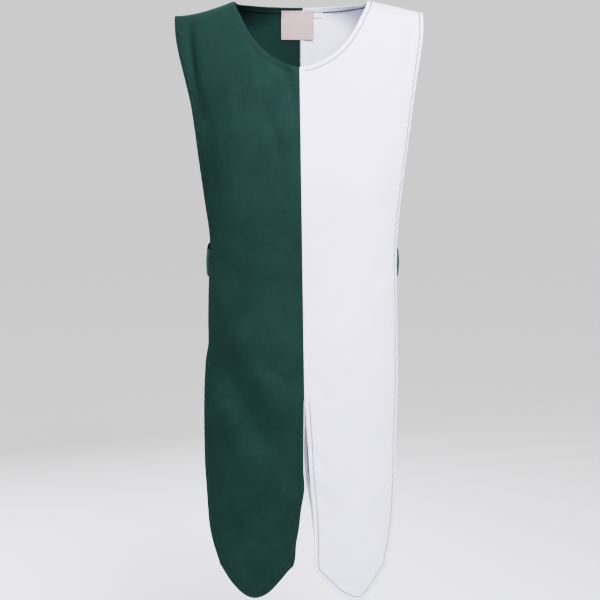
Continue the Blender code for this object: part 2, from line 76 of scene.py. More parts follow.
BACK_SECTIONS = (
    Section(-0.026, 0.2350, 0.2300, 0.042, 0.094, 72.0),
    Section(-0.073, 0.2310, 0.2275, 0.044, 0.098, 73.0),
    Section(-0.148, 0.2150, 0.2165, 0.047, 0.103, 75.0),
    Section(-0.222, 0.2030, 0.2060, 0.047, 0.105, 76.0),
    Section(-0.296, 0.1930, 0.1965, 0.046, 0.101, 77.0),
    Section(-0.370, 0.1835, 0.1880, 0.045, 0.094, 77.0),
    Section(-0.446, 0.1750, 0.1815, 0.044, 0.089, 76.0),
    Section(-0.521, 0.1745, 0.1810, 0.044, 0.091, 75.0),
    Section(-0.636, 0.1770, 0.1840, 0.046, 0.098, 71.0),
    Section(-0.750, 0.1815, 0.1850, 0.050, 0.104, 66.0),
    Section(-0.827, 0.1830, 0.1845, 0.054, 0.106, 63.0),
    Section(-0.904, 0.1810, 0.1830, 0.057, 0.108, 61.0),
    Section(-0.982, 0.1770, 0.1780, 0.062, 0.109, 59.0),
    Section(-1.020, 0.1710, 0.1730, 0.068, 0.110, 54.0),
    Section(-1.060, 0.1590, 0.1650, 0.080, 0.110, 47.0),
)

# The slit edges from the slit's top to the lappet, and the height of each lappet's hem across its half.
Slit = namedtuple("Slit", "height front_green front_white back_green back_white")
SLIT_EDGES = (
    Slit(-0.740, 0.0070, 0.0088, 0.0070, 0.0088),
    Slit(-0.785, 0.0065, 0.0118, 0.0050, 0.0105),
    Slit(-0.825, 0.0064, 0.0147, 0.0030, 0.0104),
    Slit(-0.870, 0.0065, 0.0170, 0.0010, 0.0086),
    Slit(-0.907, 0.0083, 0.0200, -0.0010, 0.0090),
    Slit(-0.946, 0.0022, 0.0239, -0.0040, 0.0118),
    Slit(-0.982, -0.0019, 0.0256, -0.0075, 0.0178),
    Slit(-1.012, -0.0070, 0.0262, -0.0115, 0.0225),
    Slit(-1.040, -0.0090, 0.0263, -0.0150, 0.0255),
    Slit(-1.064, -0.0150, 0.0282, -0.0200, 0.0289),
)
Lappet = namedtuple("Lappet", "across front_green front_white back_green back_white")
LAPPETS = (
    Lappet(0.00, -1.0545, -1.0640, -1.0560, -1.0640),
    Lappet(0.15, -1.0810, -1.0850, -1.0810, -1.0850),
    Lappet(0.33, -1.1080, -1.1090, -1.1060, -1.1075),
    Lappet(0.50, -1.1190, -1.1220, -1.1180, -1.1210),
    Lappet(0.66, -1.1140, -1.1260, -1.1140, -1.1180),
    Lappet(0.84, -1.0920, -1.0975, -1.0910, -1.0950),
    Lappet(1.00, -1.0610, -1.0635, -1.0620, -1.0610),
)

# The shoulder line, the height over which the cloth rolls from it into its fall, and the neckline.
Shoulder = namedtuple("Shoulder", "across left right")
SHOULDERS = (
    Shoulder(0.00, 0.0000, 0.0000),
    Shoulder(0.40, 0.0010, 0.0025),
    Shoulder(0.52, -0.0010, 0.0015),
    Shoulder(0.66, -0.0115, -0.0040),
    Shoulder(0.78, -0.0200, -0.0100),
    Shoulder(0.90, -0.0255, -0.0165),
    Shoulder(1.00, -0.0275, -0.0215),
)
NECK_ENDS = {GREEN_HAND: -0.1220, WHITE_HAND: 0.1258}
NAPE_RISE = 0.036
Roll = namedtuple("Roll", "across front back")
ROLLS = (
    Roll(0.00, 0.120, 0.045),
    Roll(0.50, 0.105, 0.060),
    Roll(1.00, 0.070, 0.070),
)
Neck = namedtuple("Neck", "out front_left front_right back")
NECKLINES = (
    Neck(1.000, 0.0000, 0.0000, 0.0000),
    Neck(0.961, -0.0150, -0.0163, -0.0014),
    Neck(0.894, -0.0316, -0.0337, -0.0013),
    Neck(0.798, -0.0554, -0.0580, -0.0007),
    Neck(0.690, -0.0766, -0.0791, -0.0002),
    Neck(0.568, -0.0938, -0.0964, 0.0005),
    Neck(0.417, -0.1089, -0.1109, 0.0013),
    Neck(0.223, -0.1221, -0.1233, 0.0017),
    Neck(0.000, -0.1297, -0.1297, 0.0019),
)

# The folds of each half, as lines on the garment seen from the front, each from a start to an end. A trough
# has a negative depth, and bow is how far the middle of the line lies off the straight way.
Fold = namedtuple("Fold", "start end bow width depth")
FOLDS = {
    "front_green": (
        # Beside the armhole, where the cloth pulls in and its edge flares.
        Fold((-0.2080, -0.050), (-0.1740, -0.235), -0.010, 0.014, -0.0050),
        Fold((-0.2260, -0.060), (-0.2010, -0.180), -0.004, 0.010, 0.0030),
        Fold((-0.1740, -0.235), (-0.1600, -0.440), 0.003, 0.016, -0.0030),
        # From the neckline, and down the chest.
        Fold((-0.0650, -0.112), (-0.0200, -0.150), 0.006, 0.010, -0.0030),
        Fold((-0.0620, -0.205), (-0.0340, -0.330), 0.004, 0.014, -0.0025),
        # Across the lappet, over the slit and down to the tip.
        Fold((-0.1680, -0.655), (-0.0380, -0.835), -0.018, 0.030, -0.0055),
        Fold((-0.0800, -0.674), (-0.0200, -0.712), 0.004, 0.010, -0.0025),
        Fold((-0.1200, -0.900), (-0.0900, -1.090), 0.006, 0.026, -0.0030),
        # Where loose cloth deepens them: at the armhole, across the lappet and at the neckline.
        Fold((-0.2040, -0.040), (-0.1930, -0.180), -0.003, 0.008, -0.0038),
        Fold((-0.1560, -0.635), (-0.0450, -0.840), -0.010, 0.026, -0.0070),
        Fold((-0.1260, -0.585), (0.0000, -0.780), -0.012, 0.026, 0.0075),
        Fold((-0.1650, -0.880), (-0.0150, -0.850), -0.010, 0.044, 0.0050),
        Fold((-0.0330, -0.120), (-0.0080, -0.215), 0.004, 0.008, -0.0018),
        # Finer creases, from the neckline down to the lappet.
        Fold((-0.0960, -0.070), (-0.0700, -0.175), 0.006, 0.009, -0.0009),
        Fold((-0.1350, -0.090), (-0.1180, -0.245), -0.005, 0.014, 0.0012),
        Fold((-0.1480, -0.180), (-0.1380, -0.330), 0.004, 0.012, -0.0010),
        Fold((-0.0200, -0.160), (-0.0330, -0.235), 0.003, 0.008, -0.0008),
        Fold((-0.1050, -0.300), (-0.0850, -0.440), -0.006, 0.015, -0.0010),
        Fold((-0.1620, -0.480), (-0.0960, -0.540), 0.008, 0.012, -0.0013),
        Fold((-0.1650, -0.520), (-0.1200, -0.630), -0.008, 0.016, 0.0014),
        Fold((-0.0500, -0.480), (-0.0350, -0.640), 0.005, 0.016, -0.0009),
        Fold((-0.1660, -0.735), (-0.1100, -0.765), 0.004, 0.010, -0.0012),
        Fold((-0.0750, -0.700), (-0.0250, -0.770), -0.006, 0.018, 0.0016),
        Fold((-0.1550, -0.900), (-0.1080, -0.985), -0.008, 0.014, -0.0014),
        Fold((-0.0150, -0.870), (-0.0380, -0.955), -0.004, 0.009, -0.0011),
        Fold((-0.1150, -1.062), (-0.0600, -1.078), -0.005, 0.007, -0.0013),
        Fold((-0.1000, -1.084), (-0.0650, -1.096), -0.003, 0.006, 0.0012),
    ),
    "front_white": (
        # Beside the armhole, where the cloth pulls in and its edge flares.
        Fold((0.2050, -0.045), (0.1900, -0.150), 0.003, 0.012, -0.0040),
        Fold((0.1850, -0.220), (0.1680, -0.430), -0.003, 0.018, -0.0025),
        # Down the chest.
        Fold((0.0700, -0.180), (0.0450, -0.300), -0.004, 0.016, -0.0020),
        # Across the lappet, beside the slit and down to the tip.
        Fold((0.1500, -0.600), (0.0700, -0.740), 0.010, 0.026, -0.0035),
        Fold((0.0370, -0.905), (0.0740, -0.975), 0.006, 0.012, -0.0030),
        Fold((0.1250, -0.860), (0.1150, -1.080), -0.006, 0.024, 0.0030),
        # Where loose cloth deepens them: beside the slit, and at the armhole.
        Fold((0.0190, -0.830), (0.0480, -0.866), 0.002, 0.007, -0.0026),
        Fold((0.0260, -0.905), (0.0640, -0.985), 0.004, 0.010, -0.0040),
        Fold((0.0300, -0.950), (0.0560, -1.000), 0.003, 0.007, -0.0024),
        Fold((0.2080, -0.050), (0.1960, -0.170), 0.002, 0.007, -0.0022),
        # Finer creases, from the neckline down to the lappet.
        Fold((0.1120, -0.080), (0.0850, -0.170), -0.006, 0.011, -0.0010),
        Fold((0.1520, -0.070), (0.1380, -0.215), 0.005, 0.015, 0.0012),
        Fold((0.0230, -0.200), (0.0300, -0.330), 0.003, 0.012, -0.0009),
        Fold((0.1180, -0.330), (0.0920, -0.470), 0.006, 0.016, -0.0011),
        Fold((0.1750, -0.500), (0.1050, -0.560), -0.008, 0.013, -0.0013),
        Fold((0.0600, -0.520), (0.0480, -0.660), -0.005, 0.016, 0.0010),
        Fold((0.0220, -0.690), (0.0600, -0.745), -0.004, 0.009, -0.0010),
        Fold((0.0280, -0.850), (0.0520, -0.880), 0.003, 0.007, -0.0014),
        Fold((0.0340, -0.990), (0.0700, -1.010), -0.003, 0.007, -0.0013),
        Fold((0.0600, -1.086), (0.1100, -1.104), 0.004, 0.007, -0.0022),
        Fold((0.1650, -0.800), (0.1150, -0.880), 0.006, 0.016, -0.0012),
    ),
    "back_green": (
        # From the shoulder, above and below the waist, and on the lappet.
        Fold((-0.2040, -0.060), (-0.1780, -0.260), -0.008, 0.014, -0.0045),
        Fold((-0.0900, -0.060), (-0.0500, -0.230), 0.010, 0.022, -0.0030),
        Fold((-0.1650, -0.420), (-0.0700, -0.520), 0.008, 0.018, -0.0035),
        Fold((-0.1300, -0.640), (-0.0600, -0.900), -0.010, 0.026, -0.0040),
        Fold((-0.1050, -0.910), (-0.1150, -1.090), 0.005, 0.024, 0.0035),
        # Finer creases.
        Fold((-0.1400, -0.110), (-0.1150, -0.290), 0.006, 0.016, 0.0014),
        Fold((-0.0280, -0.090), (-0.0400, -0.210), 0.004, 0.011, -0.0011),
        Fold((-0.1550, -0.360), (-0.0900, -0.430), 0.008, 0.014, -0.0014),
        Fold((-0.0550, -0.400), (-0.0420, -0.560), -0.005, 0.015, 0.0012),
        Fold((-0.1620, -0.560), (-0.1150, -0.640), -0.007, 0.013, -0.0013),
        Fold((-0.0480, -0.660), (-0.0200, -0.735), 0.004, 0.010, -0.0012),
        Fold((-0.0250, -0.860), (-0.0550, -0.930), -0.005, 0.011, -0.0012),
        Fold((-0.1100, -1.050), (-0.0600, -1.072), 0.004, 0.008, -0.0012),
    ),
    "back_white": (
        # From the shoulder, above and below the waist, and on the lappet.
        Fold((0.2060, -0.055), (0.1850, -0.230), 0.007, 0.014, -0.0045),
        Fold((0.1000, -0.050), (0.0550, -0.190), -0.008, 0.020, -0.0035),
        Fold((0.1700, -0.430), (0.0600, -0.540), -0.010, 0.020, -0.0040),
        Fold((0.1500, -0.680), (0.0500, -0.870), 0.016, 0.028, -0.0050),
        # Finer creases.
        Fold((0.1450, -0.120), (0.1180, -0.270), -0.006, 0.016, 0.0014),
        Fold((0.0320, -0.240), (0.0420, -0.370), 0.004, 0.013, -0.0011),
        Fold((0.1600, -0.350), (0.1000, -0.410), -0.007, 0.014, -0.0013),
        Fold((0.1680, -0.540), (0.1150, -0.630), 0.006, 0.014, -0.0014),
        Fold((0.0350, -0.560), (0.0500, -0.690), 0.005, 0.013, 0.0011),
        Fold((0.0280, -0.760), (0.0560, -0.820), -0.004, 0.010, -0.0012),
        Fold((0.1500, -0.930), (0.1150, -1.030), 0.006, 0.014, -0.0013),
        Fold((0.0500, -1.040), (0.0950, -1.070), -0.004, 0.008, -0.0012),
    ),
}
# Folds grow over FOLD_FADE under the shoulder line. Each swells in a half wave, cut short by the FOLD_END
# share at both ends.
FOLD_FADE = 0.080
FOLD_END = 0.12

Panel = namedtuple("Panel", "name face hand sections side slot")
PANELS = (
    Panel("front_green", FRONT_FACE, GREEN_HAND, FRONT_SECTIONS, "left", "green_cotton"),
    Panel("front_white", FRONT_FACE, WHITE_HAND, FRONT_SECTIONS, "right", "white_cotton"),
    Panel("back_green", BACK_FACE, GREEN_HAND, BACK_SECTIONS, "left", "green_cotton"),
    Panel("back_white", BACK_FACE, WHITE_HAND, BACK_SECTIONS, "right", "white_cotton"),
)


def smooth_path(start, end, leaving, arriving, share):
    """Places at shares of a smooth path that leaves one end and arrives at the other in given directions."""
    return (
        start * (2.0 * share**3 - 3.0 * share**2 + 1.0)
        + end * (3.0 * share**2 - 2.0 * share**3)
        + leaving * (share**3 - 2.0 * share**2 + share)
        + arriving * (share**3 - share**2)
    )


def read(rows, column, keys):
    """Reads a table's column on a smooth curve through its rows, held level past both ends."""
    table = sorted((row[0], getattr(row, column)) for row in rows)
    marks, values = (np.array(line) for line in zip(*table))
    before = np.maximum(np.arange(len(marks)) - 1, 0)
    after = np.minimum(np.arange(len(marks)) + 1, len(marks) - 1)
    slopes = (values[after] - values[before]) / (marks[after] - marks[before])
    keys = np.clip(keys, marks[0], marks[-1])
    place = np.clip(np.searchsorted(marks, keys) - 1, 0, len(marks) - 2)
    span = marks[place + 1] - marks[place]
    share = (keys - marks[place]) / span
    leaving, arriving = slopes[place] * span, slopes[place + 1] * span
    return smooth_path(values[place], values[place + 1], leaving, arriving, share)


def ease(share):
    """Rises from 0 to 1 with level ends."""
    share = np.clip(share, 0.0, 1.0)
    return share * share * (3.0 - 2.0 * share)


def inner_x(panel, height):
    """Where the centre seam, or the slit's edge below it, stands at a height."""
    lean = np.maximum((SEAM_TOP_HEIGHT - height) / (SEAM_TOP_HEIGHT - SLIT_HEIGHT), 0.0)
    seam_top = SEAM_TOPS[panel.face]
    seam = seam_top + (SEAM_SLIT_X - seam_top) * lean + panel.hand * SEAM_GAP / 2.0
    return np.where(height < SLIT_HEIGHT, read(SLIT_EDGES, panel.name, height), seam)


def outer_x(panel, height):
    """Where the side edge of a half stands at a height."""
    return panel.hand * read(panel.sections, panel.side, height)


def shoulder_height(panel, across):
    """The height of the shoulder line. The nape of the back stands a little higher."""
    height = read(SHOULDERS, panel.side, across)
    if panel.face == BACK_FACE:
        neck_share = across * outer_x(panel, 0.0) / NECK_ENDS[panel.hand]
        height = height + NAPE_RISE * np.maximum(1.0 - neck_share**2, 0.0) ** 2
    return height


def roll_height(panel, across):
    """The height over which the cloth rolls from the shoulder line into its fall."""
    return read(ROLLS, "front" if panel.face == FRONT_FACE else "back", across)


# The sine at which a level section's bend is stopped, where the cut runs on past its side edge.
STEEPEST = 0.999


def unfolded(panel, across, down):
    """Points of the cloth without its folds: across from the centre to the side, down from the shoulder."""
    roll = roll_height(panel, across)
    angle = np.minimum(down / roll, math.pi / 2.0)
    fall = roll * (1.0 - np.cos(angle)) + np.maximum(down - roll * math.pi / 2.0, 0.0)
    height = shoulder_height(panel, across) - fall
    edge_depth = read(panel.sections, "edge_depth", height)
    middle_depth = read(panel.sections, "middle_depth", height)
    turn = np.radians(read(panel.sections, "turn", height))
    bend = np.arcsin(np.clip(across * np.sin(turn), -STEEPEST, STEEPEST))
    depth = middle_depth + (edge_depth - middle_depth) * (1.0 - np.cos(bend)) / (1.0 - np.cos(turn))
    inner = inner_x(panel, height)
    out = inner + across * (outer_x(panel, height) - inner)
    return np.stack([out, panel.face * (SEAM_GAP / 2.0 + depth * np.sin(angle)), height], axis=-1)


def outward(panel, surface, first, second, probe):
    """The direction out of the garment at points of a surface."""
    sideways = surface(first + probe, second) - surface(first - probe, second)
    downward = surface(first, second + probe) - surface(first, second - probe)
    normal = np.cross(sideways, downward) * panel.hand * panel.face
    return normal / np.linalg.norm(normal, axis=-1, keepdims=True)


def fold_lift(panel, x, height):
    """How far the folds lift the cloth at points seen from the front."""
    lift = np.zeros_like(x)
    for fold in FOLDS[panel.name]:
        run_x = fold.end[0] - fold.start[0]
        run_z = fold.end[1] - fold.start[1]
        length = math.hypot(run_x, run_z)
        reach_x = x - fold.start[0]
        reach_z = height - fold.start[1]
        along = (reach_x * run_x + reach_z * run_z) / length**2
        held = np.clip(along, 0.0, 1.0)
        aside = (run_x * reach_z - run_z * reach_x) / length - fold.bow * 4.0 * held * (1.0 - held)
        past = (along - held) * length
        swell = np.sin(math.pi * (FOLD_END + (1.0 - 2.0 * FOLD_END) * held))
        lift += fold.depth * swell * np.exp(-(aside**2 + past**2) / fold.width**2)
    return lift


# The flat cut of a half, worked out from its fall, in metres of cloth: across from the centre to the side,
# and down from the shoulder. Two tables, with a row for each distance down, turn a share of the cut's width
# into a share across the worn half, and back.
CUT_TOP = -0.030
CUT_END = 1.300
CUT_ROWS = 420
CUT_COLUMNS = 140
CUT_DOWNS = np.linspace(CUT_TOP, CUT_END, CUT_ROWS)
CUT_SHARES = np.linspace(0.0, 1.0, CUT_COLUMNS)
Cut = namedtuple("Cut", "panel widths across_at share_at")


def lay_out(panel):
    """Measures the cloth of a half, row by row."""
    points = unfolded(panel, CUT_SHARES[None, :] * np.ones((CUT_ROWS, 1)), CUT_DOWNS[:, None])
    steps = np.linalg.norm(np.diff(points, axis=1), axis=-1)
    lengths = np.concatenate([np.zeros((CUT_ROWS, 1)), np.cumsum(steps, axis=1)], axis=1)
    widths = lengths[:, -1]
    share_at = lengths / widths[:, None]
    across_at = np.array([np.interp(CUT_SHARES, row, CUT_SHARES) for row in share_at])
    return Cut(panel, widths, across_at, share_at)


def look_up(table, share, down):
    """Reads a table of the cut at a share across and a distance down, running straight on past its sides."""
    row = (down - CUT_TOP) / (CUT_END - CUT_TOP) * (CUT_ROWS - 1)
    column = share * (CUT_COLUMNS - 1)
    first_row = np.clip(np.floor(row).astype(int), 0, CUT_ROWS - 2)
    first_column = np.clip(np.floor(column).astype(int), 0, CUT_COLUMNS - 2)
    over = row - first_row
    beside = column - first_column
    above = table[first_row, first_column] * (1.0 - beside) + table[first_row, first_column + 1] * beside
    last_row = first_row + 1
    below = table[last_row, first_column] * (1.0 - beside) + table[last_row, first_column + 1] * beside
    return above * (1.0 - over) + below * over


def across_of(cut, flat):
    """The share across a half for points of its flat cut."""
    width = np.interp(flat[..., 1], CUT_DOWNS, cut.widths)
    return look_up(cut.across_at, flat[..., 0] / width, flat[..., 1])


def flat_of(cut, across, down):
    """Points of the flat cut for shares across a half."""
    width = np.interp(down, CUT_DOWNS, cut.widths)
    return np.stack([look_up(cut.share_at, across, down) * width, down + 0.0 * across], axis=-1)


def flat_at(cut, x, height):
    """Points of the flat cut for points seen from the front."""
    panel = cut.panel
    inner = inner_x(panel, height)
    across = (x - inner) / (outer_x(panel, height) - inner)
    roll = roll_height(panel, across)
    drop = np.maximum(shoulder_height(panel, across) - height, 0.0)
    rolled = roll * np.arccos(np.clip(1.0 - drop / roll, -1.0, 1.0))
    down = np.where(drop < roll, rolled, roll * math.pi / 2.0 + drop - roll)
    return flat_of(cut, across, down)


# The centre seam holds the cloth flat: beside it the folds grow from a little give over this width. The
# probes are the steps over which the cloth's direction is measured, as a share across and in metres.
SEAM_HOLD = 0.020
SEAM_GIVE = 0.15
SHARE_PROBE = 0.0005
CUT_PROBE = 0.0008


def worn(cut, flat):
    """Points on the outer face of the worn cloth, with its folds, for points of the flat cut."""
    panel = cut.panel
    across = across_of(cut, flat)
    down = flat[..., 1]
    points = unfolded(panel, across, down)
    lift = fold_lift(panel, points[..., 0], points[..., 2]) * ease(down / FOLD_FADE)
    held = np.where(points[..., 2] > SLIT_HEIGHT, ease(SEAM_GIVE + np.abs(flat[..., 0]) / SEAM_HOLD), 1.0)
    face = outward(panel, lambda share, below: unfolded(panel, share, below), across, down, SHARE_PROBE)
    return points + face * (lift * held)[..., None]


def worn_with_face(cut, flat):
    """The same points and the direction out of the garment at each."""

    def surface(first, second):
        return worn(cut, np.stack([first, second], axis=-1))

    return worn(cut, flat), outward(cut.panel, surface, flat[..., 0], flat[..., 1], CUT_PROBE)


# The mesh of a half: a grid over its field, then rings out to the edge, round the fold and back inside. The
# rings, the line of stitching and the raw edges are given by their distance in from the edge.
NECK_ROWS = 46
BODY_ROWS = 284
ROWS = NECK_ROWS + BODY_ROWS
COLUMNS = 54
BAND = 0.014
CLOTH_WALL = 0.00050
HEM_FOLD = 0.00090
SEAM_FOLD = 0.00060
HEM_STITCH = 0.0084
SEAM_RAW = 0.0080
BAND_RINGS = (0.0115, 0.0099, 0.0090, 0.0084, 0.0078, 0.0069, 0.0054, 0.0036, 0.0019)
BACK_RINGS = (0.0022, 0.0040, 0.0062, 0.0084, 0.0092)
SEAM_BACK_RINGS = (0.0018, 0.0035, 0.0055, SEAM_RAW)
SEAM_FAR_RINGS = (0.0020, 0.0035, 0.0055, SEAM_RAW)
FOLD_STEPS = 5
SIDE_POINTS = 400
INSET_STEPS = 1600
HEM_BEND = 0.72
RELAX_ROUNDS = 160

# The stitching pulls a hem's turned layer in. Near a seam's ends its allowance is trimmed to a small share,
# and a short tack closes the seam just under the slit's top.
STITCH_PULL = 0.00025
SEAM_END = 0.0070
SEAM_END_SHARE = 0.12
TACK_START = 0.0008
TACK_DROP = 0.0015
TACK_POINTS = 12


def run_of(line):
    """How far along a line each of its points lies."""
    return np.concatenate([[0.0], np.cumsum(np.linalg.norm(np.diff(line, axis=0), axis=1))])


def places_at(line, run, marks):
    """The places on a line at marks along its run."""
    return np.stack([np.interp(marks, run, line[:, axis]) for axis in range(line.shape[1])], axis=1)


def spaced(line, count):
    """A line set out anew in equal steps."""
    run = run_of(line)
    return places_at(line, run, np.linspace(0.0, run[-1], count + 1))


def moved_in(line, width, side):
    """A line of the flat cut moved sideways by a width."""
    step = np.gradient(line, axis=0)
    step /= np.linalg.norm(step, axis=1, keepdims=True)
    return line + width * side * np.stack([step[:, 1], -step[:, 0]], axis=1)


def cut_sides(cut):
    """The five sides of a half's flat cut, each running outwards or down."""
    panel = cut.panel
    share = np.linspace(0.0, 1.0, SIDE_POINTS)
    neck_end = NECK_ENDS[panel.hand]
    neck_across = neck_end / float(outer_x(panel, 0.0))
    seam_height = float(shoulder_height(panel, neck_across))
    out = np.cos(share * math.pi / 2.0)
    column = "front_" + panel.side if panel.face == FRONT_FACE else "back"
    height = read(NECKLINES, column, out) + seam_height * out
    inner = inner_x(panel, height)
    neckline = flat_at(cut, inner + (neck_end - inner) * out, height)
    shoulder = flat_of(cut, neck_across + (1.0 - neck_across) * share, 0.0 * share)
    hem_drop = shoulder_height(panel, share) - read(LAPPETS, panel.name, share)
    hem_roll = roll_height(panel, share)
    lappet = flat_of(cut, share, hem_roll * math.pi / 2.0 + hem_drop - hem_roll)
    seam = np.stack([0.0 * share, neckline[-1, 1] + (lappet[0, 1] - neckline[-1, 1]) * share], axis=1)
    side = flat_of(cut, 1.0 + 0.0 * share, lappet[-1, 1] * share)
    return {"shoulder": shoulder, "neckline": neckline, "seam": seam, "lappet": lappet, "side": side}


# Which hand of each side is inward as it runs, and which ends of the sides meet at the five corners.
INWARD = {"shoulder": -1.0, "neckline": 1.0, "seam": 1.0, "lappet": 1.0, "side": -1.0}
CORNERS = (
    ("shoulder", 0, "neckline", 0),
    ("neckline", -1, "seam", 0),
    ("seam", -1, "lappet", 0),
    ("lappet", -1, "side", -1),
    ("side", 0, "shoulder", -1),
)


def inset_sides(sides, width):
    """The five sides moved in by a width and cut off where they meet."""
    moved = {name: spaced(moved_in(line, width, INWARD[name]), INSET_STEPS) for name, line in sides.items()}
    ends = {name: [0, len(line) - 1] for name, line in moved.items()}
    meets = {}
    for first, first_end, second, second_end in CORNERS:
        apart = np.linalg.norm(moved[first][:, None] - moved[second][None, :], axis=2)
        one, other = np.unravel_index(np.argmin(apart), apart.shape)
        meet = (moved[first][one] + moved[second][other]) / 2.0
        ends[first][first_end] = one
        ends[second][second_end] = other
        meets[first, first_end] = meet
        meets[second, second_end] = meet
    inset = {}
    for name, line in moved.items():
        inset[name] = line[ends[name][0] : ends[name][1] + 1].copy()
        inset[name][0] = meets[name, 0]
        inset[name][-1] = meets[name, -1]
    return inset


def relaxed(grid):
    """Evens out a grid over the flat cut so that its lines run smoothly round the neckline."""
    for _ in range(RELAX_ROUNDS):
        east, west = grid[1:-1, 2:], grid[1:-1, :-2]
        south, north = grid[2:, 1:-1], grid[:-2, 1:-1]
        across = (east - west) / 2.0
        down = (south - north) / 2.0
        twist = (grid[2:, 2:] - grid[2:, :-2] - grid[:-2, 2:] + grid[:-2, :-2]) / 4.0
        tall = (down**2).sum(axis=-1, keepdims=True)
        slant = (across * down).sum(axis=-1, keepdims=True)
        wide = (across**2).sum(axis=-1, keepdims=True)
        pull = tall * (east + west) + wide * (south + north) - 2.0 * slant * twist
        grid[1:-1, 1:-1] = pull / (2.0 * (tall + wide))
    return grid


def field_grid(inset):
    """The grid over the field of a half, in points of its flat cut."""
    inner = np.concatenate([spaced(inset["neckline"], NECK_ROWS), spaced(inset["seam"], BODY_ROWS)[1:]])
    outer = spaced(inset["side"], ROWS)
    hem = spaced(inset["lappet"], COLUMNS)
    share = np.linspace(0.0, 1.0, COLUMNS + 1)[None, :, None]
    rise = ease((np.linspace(0.0, 1.0, ROWS + 1) - HEM_BEND) / (1.0 - HEM_BEND))[:, None, None]
    grid = inner[:, None] * (1.0 - share) + outer[:, None] * share
    straight = inner[-1] * (1.0 - share[0]) + outer[-1] * share[0]
    grid = grid + rise * (hem - straight)[None]
    grid[0] = spaced(inset["shoulder"], COLUMNS)
    grid[-1] = hem
    return relaxed(grid)


# The relief of sewn cloth, in metres. Puckers are PUCKER_LENGTH apart, and come and go over the two longer
# lengths. The stitching draws a hem down in a groove, and a plain seam dips less and puckers less.
PUCKER_LENGTH = 0.0190
PUCKER_DRIFT = 0.067
PUCKER_SWELL = 0.083
HEM_RAISE = 0.00022
HEM_TOP = 0.0100
HEM_STEP = 0.0016
HEM_GROOVE = 0.00045
GROOVE_WIDTH = 0.0009
HEM_PUCKER = 0.00100
HEM_PUCKER_WIDTH = 0.0058
HEM_PUCKER_SLANT = 0.9
SEAM_PUCKER = 0.00018
SEAM_PUCKER_WIDTH = 0.0070
SEAM_PUCKER_PACE = 0.8
SEAM_DIP = 0.00025
SEAM_DIP_WIDTH = 0.0030


def pucker(along):
    """The small waves that a line of machine stitching draws up, from -1 to 1."""
    drift = 1.7 * np.sin(along * 2.0 * math.pi / PUCKER_DRIFT)
    wave = np.sin(along * 2.0 * math.pi / PUCKER_LENGTH + drift)
    return wave * (0.55 + 0.45 * np.sin(along * 2.0 * math.pi / PUCKER_SWELL + 0.8))


def near_line(aside, width):
    """How much of a line's relief is left beside it: all on the line, and little past its width."""
    return np.exp(-((aside / width) ** 2))


def hem_relief(inward, along):
    """How the hem stands on the outer face: raised over the turned layer, drawn down at the stitching."""
    aside = inward - HEM_STITCH
    raised = HEM_RAISE * ease((HEM_TOP - inward) / HEM_STEP)
    groove = -HEM_GROOVE * near_line(aside, GROOVE_WIDTH)
    waves = HEM_PUCKER * pucker(along + HEM_PUCKER_SLANT * inward) * near_line(aside, HEM_PUCKER_WIDTH)
    return raised + groove + waves


def seam_relief(inward, along):
    """How the cloth dips and puckers towards a plain seam."""
    waves = SEAM_PUCKER * pucker(along * SEAM_PUCKER_PACE) * near_line(inward, SEAM_PUCKER_WIDTH)
    return waves - SEAM_DIP * near_line(inward, SEAM_DIP_WIDTH)


def fold_steps(fold, turn):
    """Steps round a fold of the cloth's edge: how far in from the edge and how far under the face."""
    angles = np.linspace(0.0, turn, FOLD_STEPS + 1)
    return [(fold * (1.0 - math.sin(angle)), fold * (1.0 - math.cos(angle))) for angle in angles]


def draw_out(cloth, edges, index, rings, flat_layer):
    """Draws a row of edges out ring by ring. Each ring gives its points and flat points by index."""
    for points, flats, _ in rings:
        grown = bmesh.ops.extrude_edge_only(cloth, edges=edges)["geom"]
        fresh = {part for part in grown if isinstance(part, bmesh.types.BMVert)}
        for vert in fresh:
            vert.co = points[vert[index]]
            vert[flat_layer] = (*flats[vert[index]], 0.0)
        edges = [
            part
            for part in grown
            if isinstance(part, bmesh.types.BMEdge) and part.verts[0] in fresh and part.verts[1] in fresh
        ]


def set_flat_uv(cloth, flat_layer):
    """Keeps the flat cut, in metres, as the UV map that the weave follows."""
    uv = cloth.loops.layers.uv.new("cut")
    for face in cloth.faces:
        for loop in face.loops:
            loop[uv].uv = loop.vert[flat_layer].xy


def new_object(name, data):
    """Puts an object in the scene, at the origin."""
    fresh = bpy.data.objects.new(name, data)
    bpy.context.scene.collection.objects.link(fresh)
    return fresh


def finish_piece(name, mesh, material):
    """Makes a piece of a mesh, riding on the garment's one body."""
    mesh.shade_smooth()
    mesh.materials.append(material)
    piece = new_object(name, mesh)
    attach(piece, "root")
    return piece


def finish_cloth(name, cloth, material, wall):
    """Makes a piece of a bmesh, with a wall of cloth inside its face."""
    mesh = bpy.data.meshes.new(name)
    cloth.to_mesh(mesh)
    cloth.free()
    piece = finish_piece(name, mesh, material)
    solid = piece.modifiers.new("wall", "SOLIDIFY")
    solid.thickness = wall
    solid.offset = -1.0
    return piece


def linear(code):
    """Turns an sRGB hex colour to linear."""
    shares = [int(code[place : place + 2], 16) / 255.0 for place in (1, 3, 5)]
    mixed = [share / 12.92 if share <= 0.04045 else ((share + 0.055) / 1.055) ** 2.4 for share in shares]
    return (*mixed, 1.0)


def new_material(name):
    """An empty material to add nodes to."""
    material = bpy.data.materials.new(name)
    material.use_nodes = True
    material.node_tree.nodes.clear()
    return material


def add(material, kind, inputs=None, **settings):
    """Adds a node with its settings, and its inputs as values or as links from (node, output)."""
    node = material.node_tree.nodes.new(kind)
    for key, value in settings.items():
        setattr(node, key, value)
    for key, value in (inputs or {}).items():
        if isinstance(value, tuple) and isinstance(value[0], bpy.types.Node):
            material.node_tree.links.new(value[0].outputs[value[1]], node.inputs[key])
        else:
            node.inputs[key].default_value = value
    return node


